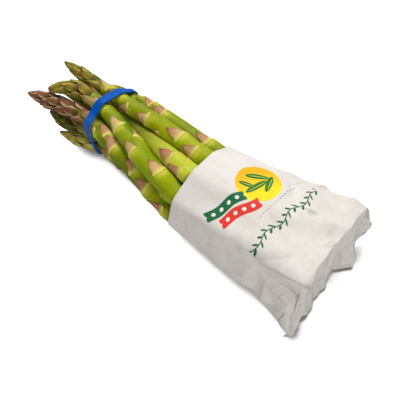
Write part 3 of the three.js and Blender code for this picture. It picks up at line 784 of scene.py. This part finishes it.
# turn in degrees, and how far the edges lie from the middle towards the tips and the butts
BAND_EDGES = np.array([
    (-30, 3.2, 1.2), (0, 3.9, 0.2), (50, 3.4, 1.8), (75, 3.2, 3.2), (150, 3.2, 3.2), (168, 4.7, 1.0),
    (178, 3.5, 1.0), (197, -0.1, 2.8), (215, 0.9, 1.6), (235, 3.0, -0.6), (275, 3.4, 0.2), (330, 3.2, 1.2),
])
# turn in degrees, and how far the free span under the near side is drawn in towards the middle
DRAWN_IN = np.array([(195, 0.0), (215, 1.0), (240, 1.4), (262, 0.0)])
# the section is (cos^0.3, sin^0.6): a flat strip with rounded edges
SIDE_POWER, FACE_POWER = 0.3, 0.6
FOLD_HEIGHT, FOLD_LAG, FOLD_WAVES = 0.16, 1.9, 7.0


def signed_power(x, power):
    """|x|^power with the sign of x."""
    return np.sign(x) * np.abs(x) ** power


def directions(count):
    """Evenly spread turns phi, and the unit vectors (cos phi, sin phi) that point along them."""
    phi = np.linspace(0, 2 * np.pi, count, endpoint=False)
    return phi, np.stack([np.cos(phi), np.sin(phi)], 1)


def tight_radius(turns, phi, support):
    """Ray from the middle to a tight outline: the least over phi of support / cos(turn - phi)."""
    facing = np.cos(turns[:, None] - phi)
    return np.where(facing > 0.05, support / np.maximum(facing, 0.05), NO_LIMIT).min(1)


def band_outline(turns, middle_x, offset):
    """Rays to the tight outline; support is the furthest c . n + r of the circles within reach."""
    found = [circles_at(x) for x in BAND_STATIONS]
    circles = np.vstack(found)
    circle_x = np.repeat(BAND_STATIONS, [len(circle) for circle in found])
    phi, normal = directions(240)
    reach = (circles[:, :2] - [BAND_MIDDLE_Y, MIDDLE_Z]) @ normal.T + circles[:, 2:3]
    touched = np.abs(circle_x - middle_x[:, None]) <= BAND_REACH
    support = np.where(touched[:, :, None], reach[None], -NO_LIMIT).max(1) + offset
    return tight_radius(turns, phi, support)


# The loop's line: it leans, so its place along the bunch and its height are found in turns
band_turns = turns_from_below(BAND_STEPS)
band_z = np.full(BAND_STEPS, MIDDLE_Z)
for _ in range(3):
    band_radius = band_outline(band_turns, band_centre_x(band_z), BAND_GAP + BAND_THICKNESS / 2)
    band_z = MIDDLE_Z + band_radius * np.sin(band_turns)
degrees = np.degrees(band_turns)
degrees = np.where(degrees < -30, degrees + 360, degrees)
band_radius -= np.interp(degrees, *DRAWN_IN.T)
band_y = BAND_MIDDLE_Y + band_radius * np.cos(band_turns)
band_z = np.maximum(MIDDLE_Z + band_radius * np.sin(band_turns), BAND_THICKNESS / 2)
band_line = np.stack([band_y, band_z], 1)
band_along = np.roll(band_line, -2, axis=0) - np.roll(band_line, 2, axis=0)
band_along /= np.linalg.norm(band_along, axis=1)[:, None]
band_out = np.stack([band_along[:, 1], -band_along[:, 0]], 1)

# The section is carried along the line, with lengthwise folds where the strip is rolled up
to_tips, to_butts = (np.interp(degrees, BAND_EDGES[:, 0], BAND_EDGES[:, k]) for k in (1, 2))
middle = band_centre_x(band_z) + (to_butts - to_tips) / 2
half = (to_butts + to_tips) / 2
section = directions(BAND_SIDES)[1]
across = signed_power(section[:, 0], SIDE_POWER)
outward = signed_power(section[:, 1], FACE_POWER) * BAND_THICKNESS / 2
fold = FOLD_HEIGHT * smoothstep(np.sin(band_turns - FOLD_LAG), 0.6, 1.0)
lifted = outward[None, :] + fold[:, None] * np.cos(across * FOLD_WAVES)[None, :] * (outward > 0)
band_x = middle[:, None] + across[None, :] * half[:, None]
band_yz = band_line[:, None, :] + lifted[..., None] * band_out[:, None, :]
band_points = np.concatenate([band_x[..., None], band_yz], -1).reshape(-1, 3)
band_points[:, 2] = np.maximum(band_points[:, 2], 0.0)
ring = np.arange(BAND_STEPS * BAND_SIDES).reshape(BAND_STEPS, BAND_SIDES)
next_ring, next_side = np.roll(ring, -1, axis=0), np.roll(ring, -1, axis=1)
band_faces = np.stack([ring, next_side, np.roll(next_ring, -1, axis=1), next_ring], -1).reshape(-1, 4)
band_uv = np.stack(np.broadcast_arrays(travel(band_line)[:, None], across * BAND_WIDTH / 2), -1)

# Blue right through, with painted highlights: pale lines along its folds at the near side
band_material, n, band_shader = new_material("blue_rubber")
rubber_place = n.attribute("UVMap")
streak = n.noise(n.stretch(rubber_place, 0.06, 1.5), 1.0)
speck = n.noise(n.place(), 900.0)
rubber = n.mix(n.ramp(streak, 0.35, 0.7), srgb(0, 72, 160), srgb(0, 92, 184))
rubber = n.mix(n.ramp(speck, 0.62, 0.75, 0.0, 0.15), rubber, srgb(40, 120, 220))
_, band_at_y, band_at_z = n.parts(n.place())
near_side = n.times(n.ramp(band_at_y, -0.0215, -0.0235), n.ramp(band_at_z, 0.017, 0.022))
from_middle = n.parts(rubber_place)[1]
painted_fold_highlights = n.ramp(n.math("SINE", n.times(from_middle, 4.6)), 0.6, 0.95, 0.0, 0.36)
# painted highlights along the rolled folds of the near side
rubber = n.mix(n.times(painted_fold_highlights, near_side), rubber, srgb(120, 170, 235))
n.fill(band_shader, {
    "Base Color": rubber,
    "Roughness": n.ramp(speck, 0.3, 0.7, 0.42, 0.54),
    "Normal": n.bump(streak, distance=0.0002, strength=0.5),
    "Specular IOR Level": 0.06,
})
band_uv = band_uv.reshape(-1, 2)
band = make_object("rubber_band_loop", band_points, band_faces, smooth_angle=50, uv=band_uv)
mount(band, "rubber_band", band_material)


# ---- Paper sleeve: form -------------------------------------------------------------------------
# One sheet of thin wet-strength paper, glued to a tube, tight round the stalks. Its crushed open end
# hangs down over the butts, creased from handling, and its free edge is torn in waves.

SLEEVE_END_X = 108.0
CURTAIN_END_X = 124.0
PAPER_OFFSET = 2.0
PAPER_THICKNESS = 0.3
LAST_SNUG_X = 100.0
MIDDLE_DRIFT = 8.0
SLEEVE_COLUMNS = 288
SLEEVE_RINGS, CURTAIN_RINGS = 112, 44
EDGE_X, EDGE_SLANT = 114.0, 0.1
# the torn edge's tongues: y of the middle, half width and length
TONGUES = [(25, 6.5, 8), (49, 7, 5)]
CORNER_Y, CORNER_ROUNDING = -31.5, 0.14
# the curtain: how far it flares at the table and at full height, how far its edge hangs and curls up
LOW_FLARE, HIGH_FLARE, FLARE_MIDDLE_Y = 0.26, 0.1, 0.6
FULL_HEIGHT = 40
EDGE_HEIGHT, CURL_OUT, CURL_UP = 2.6, 5, 9
NEAR_FOLD_Y, NEAR_FOLD_REACH, NEAR_FOLD_HEIGHT = -24.5, 5, 6
# share of the curtain's way out, and share of its way down to the edge
HANG = np.array([
    (0, 0), (0.04, 0.005), (0.08, 0.018), (0.18, 0.09), (0.3, 0.216), (0.45, 0.43), (0.62, 0.677), (1, 1),
])


def sleeve_outline(x, turns):
    """y and z of the tight outline round the stalks; support is the furthest c . n + r + offset."""
    circles = circles_at(min(x, LAST_SNUG_X) + SHIFT_X) - [SHIFT_Y, 0, 0]
    middle_y = MIDDLE_DRIFT * smoothstep(x, SLEEVE_START_X, LAST_SNUG_X)
    phi, normal = directions(720)
    reach = (circles[:, :2] - [middle_y, MIDDLE_Z]) @ normal.T + circles[:, 2:3]
    radius = tight_radius(turns, phi, reach.max(0) + PAPER_OFFSET)
    return middle_y + radius * np.cos(turns), MIDDLE_Z + radius * np.sin(turns)


def free_edge_x(y):
    """Where the free edge lies: edge - slant y + tongues + waves - rounding (past the corner)^2."""
    tongues = sum(length * bell(y - middle, reach) for middle, reach, length in TONGUES)
    waves = 0.8 * np.sin(y * 0.34 + 1.0) + 0.35 * np.sin(y * 0.83)
    corner = CORNER_ROUNDING * np.maximum(CORNER_Y - y, 0) ** 2
    return EDGE_X - EDGE_SLANT * y + tongues + waves - corner


# The tube: rings round the stalks, flat on the table below
sleeve_turns = turns_from_below(SLEEVE_COLUMNS)
rings = []
for x in np.linspace(SLEEVE_START_X, SLEEVE_END_X, SLEEVE_RINGS):
    y, z = sleeve_outline(x, sleeve_turns)
    rings.append(np.stack([np.full_like(y, x), y, np.maximum(z, 0)], 1))

# The curtain: rings from the tube's end out to the free edge, which hang down to it
end_y, end_z = rings[-1][:, 1], rings[-1][:, 2]
raised = np.minimum(1, end_z / FULL_HEIGHT)
curl = smoothstep(end_y, 26, 42) * smoothstep(end_z, 8, 26)
for step in np.linspace(0, 1, CURTAIN_RINGS + 1)[1:]:
    flare = step * lerp(LOW_FLARE, HIGH_FLARE, raised)
    y = end_y + flare * (end_y - FLARE_MIDDLE_Y) + step * CURL_OUT * curl
    x = lerp(SLEEVE_END_X, free_edge_x(y), step)
    near_fold = NEAR_FOLD_HEIGHT * bell(y - NEAR_FOLD_Y, NEAR_FOLD_REACH) * raised
    edge = EDGE_HEIGHT + CURL_UP * curl + near_fold + 0.03 * end_z
    z = np.where(end_z < 0.2, 0.0, lerp(end_z, edge, np.interp(step, *HANG.T)))
    rings.append(np.stack([x, y, z], 1))
sheet = np.array(rings)


# ---- Paper sleeve: creases ----------------------------------------------------------------------
# The paper is smooth at the mouth and more and more crumpled to the open end. The creases are straight
# folds between flat facets: heights at scattered points, joined by triangles.

# along the sleeve, round it in degrees (90 on top, 180 the near side), and height off the bunch
CREASES = [
    (20, 150, 0.0), (20, 90, 0.0), (20, 40, 0.0), (20, 200, 0.0), (33, 157, 0.3), (42, 151, 0.9),
    (43, 163, -0.7), (52, 158, 0.6), (61, 152, 1.0), (61, 167, -0.9), (72, 151, 1.0), (73, 165, -1.2),
    (78, 145, 0.4), (66, 138, -0.6), (86, 151, 1.6), (84, 163, -1.6), (93, 149, 2.4), (101, 146, 3.4),
    (109, 143, 4.6), (90, 165, -2.2), (97, 167, -3.6), (104, 168, -4.6), (110, 168, -4.0),
    (102, 156, -0.6), (94, 158, -1.2), (90, 176, 0.2), (98, 178, 0.6), (106, 180, 1.0), (86, 188, -1.2),
    (92, 196, 1.2), (98, 188, -0.9), (104, 194, 2.0), (110, 196, 3.0), (96, 205, 2.0), (102, 206, 3.8),
    (108, 206, 4.8), (113, 204, 4.0), (78, 184, 0.9), (66, 182, -0.8), (54, 184, 0.5), (98, 132, 0.7),
    (104, 128, 0.4), (109, 130, 0.6), (96, 116, -1.0), (104, 108, 0.9), (90, 126, 0.9), (86, 112, -0.9),
    (104, 92, -1.0), (96, 84, 1.0), (104, 72, 1.1), (98, 62, -0.9), (78, 124, -0.8), (80, 104, 0.6),
    (88, 92, 0.7), (82, 76, -0.6), (103, 48, 1.0), (94, 40, -0.7), (53, 48, 0.5), (40, 37, -0.4),
    (66, 46, -0.6), (78, 43, 0.6), (60, 90, 0.3), (48, 112, 0.25), (36, 84, -0.2), (30, 120, 0.2),
]
RANDOM_CREASES = 260
CROWDING = 0.62
# how high the random ones stand at most, along the sleeve
CRUMPLING = np.array([(20, 0.1), (45, 0.45), (80, 1.1), (104, 1.8), (112, 2.2)])
# half a millimetre to a degree, so that lengths along the sleeve and round it compare
MM_PER_DEGREE = 0.5
SPACING = 4.0
FIELD_CORNERS = [(10, -160, 0), (10, 340, 0), (135, -160, 0), (135, 340, 0)]
HOLLOW_SHARE = 0.9


def crease_seeds():
    """The given creases and random ones clear of them, repeated a turn back and a turn on."""
    random = np.random.default_rng(41)
    out = random.uniform(size=RANDOM_CREASES) ** CROWDING
    along = SLEEVE_START_X + (CURTAIN_END_X - SLEEVE_START_X) * out
    turn = random.uniform(-90, 270, RANDOM_CREASES)
    rise = random.uniform(-1, 1, RANDOM_CREASES) * np.interp(along, *CRUMPLING.T)
    given = np.array(CREASES)
    apart = np.hypot(along[:, None] - given[:, 0], (turn[:, None] - given[:, 1]) * MM_PER_DEGREE).min(1)
    seeds = np.vstack([given, np.stack([along, turn, rise], 1)[apart > SPACING]])
    seeds = np.vstack([seeds, seeds + [0, 360, 0], seeds - [0, 360, 0]])
    seeds = seeds[(seeds[:, 1] > -160) & (seeds[:, 1] < 340)]
    return np.vstack([seeds, FIELD_CORNERS])


def crease_field(at, around):
    """Height of the paper: linear in each triangle between the seeds, h0 + s (h1 - h0) + t (h2 - h0).

    It is then softened a little: each point with its two neighbours, weighed 1, 4, 1, both ways.
    """
    seeds = crease_seeds()
    flat = [Vector((a, w * MM_PER_DEGREE)) for a, w, _ in seeds]
    points, _, faces, origin, _, _ = geometry.delaunay_2d_cdt(flat, [], [], 0, 0.01)
    heights = np.array([seeds[o[0], 2] if o else 0.0 for o in origin])
    points = np.array([tuple(p) for p in points])
    u, w = at.ravel(), around.ravel() * MM_PER_DEGREE
    height = np.zeros_like(u)
    for face in faces:
        a, b, c = points[list(face)]
        near = (u >= min(a[0], b[0], c[0])) & (u <= max(a[0], b[0], c[0]))
        near &= (w >= min(a[1], b[1], c[1])) & (w <= max(a[1], b[1], c[1]))
        rows = np.nonzero(near)[0]
        area = (b[0] - a[0]) * (c[1] - a[1]) - (c[0] - a[0]) * (b[1] - a[1])
        if len(rows) and abs(area) > 1e-9:
            q = np.stack([u[rows], w[rows]], 1) - a
            s = (q[:, 0] * (c - a)[1] - (c - a)[0] * q[:, 1]) / area
            t = ((b - a)[0] * q[:, 1] - q[:, 0] * (b - a)[1]) / area
            inside = (s >= -1e-9) & (t >= -1e-9) & (s + t <= 1 + 1e-9)
            high = heights[list(face)]
            value = high[0] + s * (high[1] - high[0]) + t * (high[2] - high[0])
            height[rows[inside]] = value[inside]
    height = height.reshape(at.shape)
    height = (np.roll(height, 1, axis=1) + 4 * height + np.roll(height, -1, axis=1)) / 6
    height[1:-1] = (height[:-2] + 4 * height[1:-1] + height[2:]) / 6
    return height


def sheet_normal(points):
    """Outward normal of the closed grid of rings: d/dcolumn x d/dring, of unit length."""
    along = np.gradient(points, axis=0)
    across = np.roll(points, -1, axis=1) - np.roll(points, 1, axis=1)
    normal = np.cross(across, along)
    return normal / (np.linalg.norm(normal, axis=-1)[..., None] + 1e-9)


# The creased sheet, smooth where it rests on the table, and its inner face one thickness within
rows = len(sheet)
ring_ends = [SLEEVE_START_X, SLEEVE_END_X, CURTAIN_END_X]
ring_at = np.interp(np.arange(rows), [0, SLEEVE_RINGS - 1, rows - 1], ring_ends)
ring_at, ring_turn = np.meshgrid(ring_at, np.degrees(sleeve_turns), indexing="ij")
crease = crease_field(ring_at, ring_turn)
resting = smoothstep(sheet[..., 2], 0.0, 3.0 + 6.0 * smoothstep(ring_at, 112.0, 122.0))
crease = np.where(crease > 0, crease, crease * HOLLOW_SHARE) * resting
outer = sheet + crease[..., None] * sheet_normal(sheet)
outer[..., 2] = np.maximum(outer[..., 2], 0.0)
outer = outer + [SHIFT_X, SHIFT_Y, 0]
inner = outer - PAPER_THICKNESS * sheet_normal(outer)
inner[..., 2] = np.maximum(inner[..., 2], np.where(outer[..., 2] < 0.3, PAPER_THICKNESS, -NO_LIMIT))
size = rows * SLEEVE_COLUMNS
outer_faces = grid_faces(rows, SLEEVE_COLUMNS, True)
first = np.arange(SLEEVE_COLUMNS)
after = (first + 1) % SLEEVE_COLUMNS
last = size - SLEEVE_COLUMNS
mouth_rim = np.stack([after, first, first + size, after + size], 1)
edge_rim = np.stack([last + first, last + after, last + after + size, last + first + size], 1)
bend_along = np.abs(np.gradient(np.gradient(crease, axis=0), axis=0))
bend_round = np.abs(np.roll(crease, 1, axis=1) + np.roll(crease, -1, axis=1) - 2 * crease)
bend = (bend_along + bend_round).ravel()
sleeve_uv = np.stack([ring_at.ravel(), ring_turn.ravel() * MM_PER_DEGREE], 1)
sleeve = make_object(
    "paper_sleeve_sheet",
    np.vstack([outer.reshape(-1, 3), inner.reshape(-1, 3)]),
    np.vstack([outer_faces, outer_faces[:, ::-1] + size, mouth_rim, edge_rim]),
    smooth_angle=60,
    uv=np.vstack([sleeve_uv, sleeve_uv]),
    values={
        "fold": np.concatenate([bend, bend]),
        "inside": np.concatenate([np.zeros(size), np.ones(size)]),
    },
)


# ---- Paper sleeve: print and paper --------------------------------------------------------------
# Off-white uncoated paper with a small three-colour print on top: a yellow sun with green leaves, a
# green and a red ribbon with plain dots, and a garland of leaves along the edge.

paper_material, n, paper_shader = new_material("sleeve_paper")
paper_place = n.place()
in_mm = n.add("ShaderNodeVectorMath", {"operation": "SCALE"}, i0=paper_place, Scale=1000.0).outputs[0]
BLEED = 0.12


def print_axes(x, y, turn):
    """Lengths u along and v across from a print's own middle, turned in degrees from the X axis."""
    at, turned = (x + SHIFT_X, y + SHIFT_Y, 0.0), (0.0, 0.0, math.radians(turn))
    settings = {"vector_type": "TEXTURE"}
    node = n.add("ShaderNodeMapping", settings, Vector=in_mm, Location=at, Rotation=turned)
    u, v, _ = n.parts(node.outputs[0])
    return u, v


def inked(distance, edge):
    """1 inside the edge and 0 outside, with the ink's bleed between."""
    return n.ramp(distance, edge + BLEED, edge - BLEED)


def stripe(u, half_width):
    """1 within half_width of the line u = 0."""
    return inked(n.math("ABSOLUTE", u), half_width)


def snaking(u, height, wave, lag=0.0):
    """A print's wavy middle line: height x sin(wave u + lag)."""
    return n.times(n.math("SINE", n.plus(n.times(u, wave), lag)), height)


def repeated(u, pitch, start):
    """Length from the middle of the nearest repeat: (u + start) modulo pitch, less pitch / 2."""
    return n.minus(n.math("MODULO", n.plus(u, start), pitch), pitch / 2)


def oval(u, v, long, wide):
    """1 on the edge of an oval: sqrt((u / long)^2 + (v / wide)^2)."""
    along = n.math("POWER", n.math("DIVIDE", u, long), 2.0)
    across = n.math("POWER", n.math("DIVIDE", v, wide), 2.0)
    return n.math("SQRT", n.plus(along, across))


def leaf_mask(x, y, turn, long, wide):
    """1 inside an oval leaf of the print, by its half length and half width."""
    u, v = print_axes(x, y, turn)
    return n.ramp(oval(u, v, long, wide), 1.06, 0.94)


# The paper: a little uneven, with painted shade along its folds
fibres = n.noise(paper_place, 1400.0, detail=3.0, rough=0.7)
mottle = n.noise(paper_place, 60.0, detail=3.0)
paper = n.mix(n.ramp(mottle, 0.35, 0.65), srgb(219, 213, 206), srgb(226, 221, 214))
paper = n.mix(n.ramp(fibres, 0.55, 0.8, 0.0, 0.25), paper, srgb(206, 200, 190))
# grey where the sheet bends most: painted shade in the folds
paper = n.mix(n.ramp(n.attribute("fold", "Fac"), 0.12, 0.5, 0.0, 0.5), paper, srgb(160, 154, 144))

# The sun and its leaves, each by its place, turn, half length and half width
SUN_AT, SUN_TURN, SUN_RADIUS = (54.0, 9.0), 60.0, 13.4
SUN_LEAVES = (
    (51.0, 12.0, 35.0, 7.0, 1.9),
    (55.0, 6.0, 75.0, 7.5, 1.9),
    (59.0, 12.5, 110.0, 6.5, 1.8),
    (50.0, 3.5, 15.0, 5.0, 1.5),
)
LEMON, EGG_YELLOW = srgb(252, 222, 30), srgb(246, 178, 12)
LEAF_GREEN, RIB_YELLOW = srgb(52, 118, 40), srgb(190, 200, 60)
sun_u, sun_v = print_axes(*SUN_AT, SUN_TURN)
sun = inked(oval(sun_u, sun_v, 1.0, 1.0), SUN_RADIUS)
paper = n.mix(sun, paper, n.mix(n.ramp(sun_v, -10.0, 11.0), LEMON, EGG_YELLOW))
for x, y, turn, long, wide in SUN_LEAVES:
    paper = n.mix(leaf_mask(x, y, turn, long, wide), paper, LEAF_GREEN)
    paper = n.mix(leaf_mask(x + 0.4, y + 0.3, turn, long * 0.8, wide * 0.14), paper, RIB_YELLOW)

# Two dotted ribbons, each by its place, colour and the start of its wave
RIBBONS = ((49.0, -14.0, srgb(22, 104, 58), 0.0), (58.0, -12.0, srgb(226, 54, 44), 2.2))
RIBBON_TURN, RIBBON_HALF_WIDTH, RIBBON_HALF_LENGTH = 68.0, 3.1, 12.0
DOT_PITCH, DOT_RADIUS = 5.0, 1.15
for x, y, colour, lag in RIBBONS:
    u, v = print_axes(x, y, RIBBON_TURN)
    off_line = n.minus(v, snaking(u, 0.8, 0.3, lag))
    ribbon = n.times(stripe(off_line, RIBBON_HALF_WIDTH), stripe(u, RIBBON_HALF_LENGTH))
    paper = n.mix(ribbon, paper, colour)
    dot = inked(oval(repeated(u, DOT_PITCH, 60.0), off_line, 1.0, 1.0), DOT_RADIUS)
    paper = n.mix(n.times(dot, ribbon), paper, srgb(236, 230, 220))

# The garland: a wavy stem with leaning leaves on both sides
GARLAND_AT, GARLAND_TURN, GARLAND_HALF_LENGTH = (79.0, 1.0), 84.0, 27.0
STEM_HALF_WIDTH, GARLAND_PITCH, LEAF_LEAN = 0.32, 4.6, 0.7
GARLAND_GREEN = srgb(30, 96, 66)
garland_u, garland_v = print_axes(*GARLAND_AT, GARLAND_TURN)
off_stem = n.minus(garland_v, snaking(garland_u, 1.5, 0.34))
garland_end = stripe(garland_u, GARLAND_HALF_LENGTH)
paper = n.mix(n.times(stripe(off_stem, STEM_HALF_WIDTH), garland_end), paper, GARLAND_GREEN)
for side, lag in ((1.0, 0.0), (-1.0, 2.3)):
    leaf_u = repeated(garland_u, GARLAND_PITCH, 90.0 + lag)
    leaf_v = n.minus(off_stem, 1.5 * side)
    leaned = n.plus(leaf_u, n.times(leaf_v, LEAF_LEAN * side))
    leaves = n.ramp(oval(leaned, leaf_v, 0.75, 1.35), 1.08, 0.92)
    paper = n.mix(n.times(leaves, garland_end), paper, GARLAND_GREEN)

# A short dashed rule between the sun and the garland
RULE_AT, RULE_TURN, RULE_HALF_WIDTH, RULE_HALF_LENGTH = (69.5, 7.0), 86.0, 0.3, 15.0
rule_u, rule_v = print_axes(*RULE_AT, RULE_TURN)
rule = n.times(stripe(rule_v, RULE_HALF_WIDTH), stripe(rule_u, RULE_HALF_LENGTH))
dash = n.ramp(n.math("MODULO", n.plus(rule_u, 60.0), 2.0), 1.2, 1.4)
paper = n.mix(n.times(rule, dash), paper, srgb(120, 118, 112))

# Small creases over the paper and its print, stronger towards the open end: bumps, and thin painted shade
# lines along them
DRIFT = (0.003, 0.003, 0.003)
drift = n.add("ShaderNodeTexNoise", None, Vector=paper_place, Scale=45.0).outputs[1]
drifting = {"operation": "MULTIPLY_ADD"}
wandering = n.add("ShaderNodeVectorMath", drifting, i0=drift, i1=DRIFT, i2=paper_place).outputs[0]
facets = n.facets(wandering, 27.0)
small_facets = n.facets(wandering, 70.0)
crumpled = n.ramp(n.parts(paper_place)[0], 0.015, 0.1, 0.25, 1.0)
# thin dark lines at the facets' edges: painted shade in the small creases
line = n.times(n.ramp(facets, 0.035, 0.0), n.ramp(n.noise(paper_place, 30.0), 0.48, 0.62))
paper = n.mix(n.times(line, n.times(crumpled, 0.28)), paper, srgb(150, 142, 130))
# the inner face is a darker copy of the paper: painted shade of the sleeve's inside
paper = n.mix(n.attribute("inside", "Fac"), paper, srgb(192, 190, 178))
grain = n.bump(fibres, distance=0.00006, strength=0.35)
rumple = n.times(n.plus(facets, n.times(small_facets, 0.12)), crumpled)
n.fill(paper_shader, {
    "Base Color": paper,
    "Roughness": n.ramp(fibres, 0.3, 0.7, 0.62, 0.78),
    "Normal": n.bump(rumple, distance=0.0075, strength=0.75, normal=grain),
    "Specular IOR Level": 0.25,
})
mount(sleeve, "paper_sleeve", paper_material)


# ---- Table, light and camera --------------------------------------------------------------------
# A white table, lit by a soft lamp above the far side of the tips and a weaker one from the near side
# of the butts. To the camera it glows white, but for the soft dark where the bunch rests on it.

TABLE_HALF = 3000.0
# a spot is dark as far as the bunch stands within reach of it in this direction, towards the tips;
# it is darkest where this much of the sky is left or less, and glows in full from the other share on
SHADOW_LEAN, SHADOW_REACH = (-0.9, -0.3, 0.35), 0.012
DARKEST, LIGHTEST, GLOW = 0.66, 0.84, 0.84
SKY_POWER = 0.24
LIT_POINT = Vector((0, 0, 0.02))

floor_material, n, floor_shader = new_material("white_table")
lean = n.add("ShaderNodeVectorMath", {"operation": "NORMALIZE"}, i0=SHADOW_LEAN).outputs[0]
contact = n.add("ShaderNodeAmbientOcclusion", {"samples": 16}, Distance=SHADOW_REACH, Normal=lean)
glow = n.ramp(contact.outputs["AO"], DARKEST, LIGHTEST, 0.0, GLOW)
seen = n.add("ShaderNodeLightPath").outputs["Is Camera Ray"]
n.fill(floor_shader, {
    "Base Color": n.mix(n.noise(n.place(), 40.0), (0.7, 0.7, 0.7, 1), (0.71, 0.71, 0.71, 1)),
    "Roughness": 0.8,
    "Specular IOR Level": 0.1,
    "Emission Color": (1, 1, 1, 1),
    "Emission Strength": n.times(seen, glow),
})
corners = TABLE_HALF * np.array([(-1, -1, 0), (1, -1, 0), (1, 1, 0), (-1, 1, 0)])
floor = make_object("table_top", corners, np.array([[0, 1, 2, 3]]), smooth_angle=30)
floor.data.materials.append(floor_material)

world = bpy.data.worlds.new("studio")
world.use_nodes = True
world.node_tree.nodes["Background"].inputs[0].default_value = (1, 1, 1, 1)
world.node_tree.nodes["Background"].inputs[1].default_value = SKY_POWER
bpy.context.scene.world = world


def area_light(name, place, size, power):
    """A soft square lamp that faces the bunch."""
    data = bpy.data.lights.new(name, "AREA")
    data.size = size
    data.energy = power
    lamp = bpy.data.objects.new(name, data)
    lamp.location = Vector(place)
    lamp.rotation_euler = (LIT_POINT - Vector(place)).to_track_quat("-Z", "Y").to_euler()
    bpy.context.scene.collection.objects.link(lamp)


area_light("overhead", place=(-0.4, 0.4, 0.8), size=0.35, power=9.0)
area_light("fill", place=(0.6, -0.5, 0.5), size=0.6, power=3.2)

LOOK_AT = (26.0, -9.3, 18.6)
AZIMUTH, ELEVATION, DISTANCE = 42, 57, 0.279
camera_data = bpy.data.cameras.new("camera")
camera_data.lens = 40.5
camera_data.sensor_width = 36.0
camera = bpy.data.objects.new("camera", camera_data)
look = Vector((LOOK_AT[0] + SHIFT_X, LOOK_AT[1] + SHIFT_Y, LOOK_AT[2])) * MM
azimuth, elevation = math.radians(AZIMUTH), math.radians(ELEVATION)
away = Vector((
    math.sin(azimuth) * math.cos(elevation),
    -math.cos(azimuth) * math.cos(elevation),
    math.sin(elevation),
))
camera.location = look + away * DISTANCE
camera.rotation_euler = (-away).to_track_quat("-Z", "Y").to_euler()
bpy.context.scene.collection.objects.link(camera)
bpy.context.scene.camera = camera
bpy.context.scene.view_settings.view_transform = "Standard"
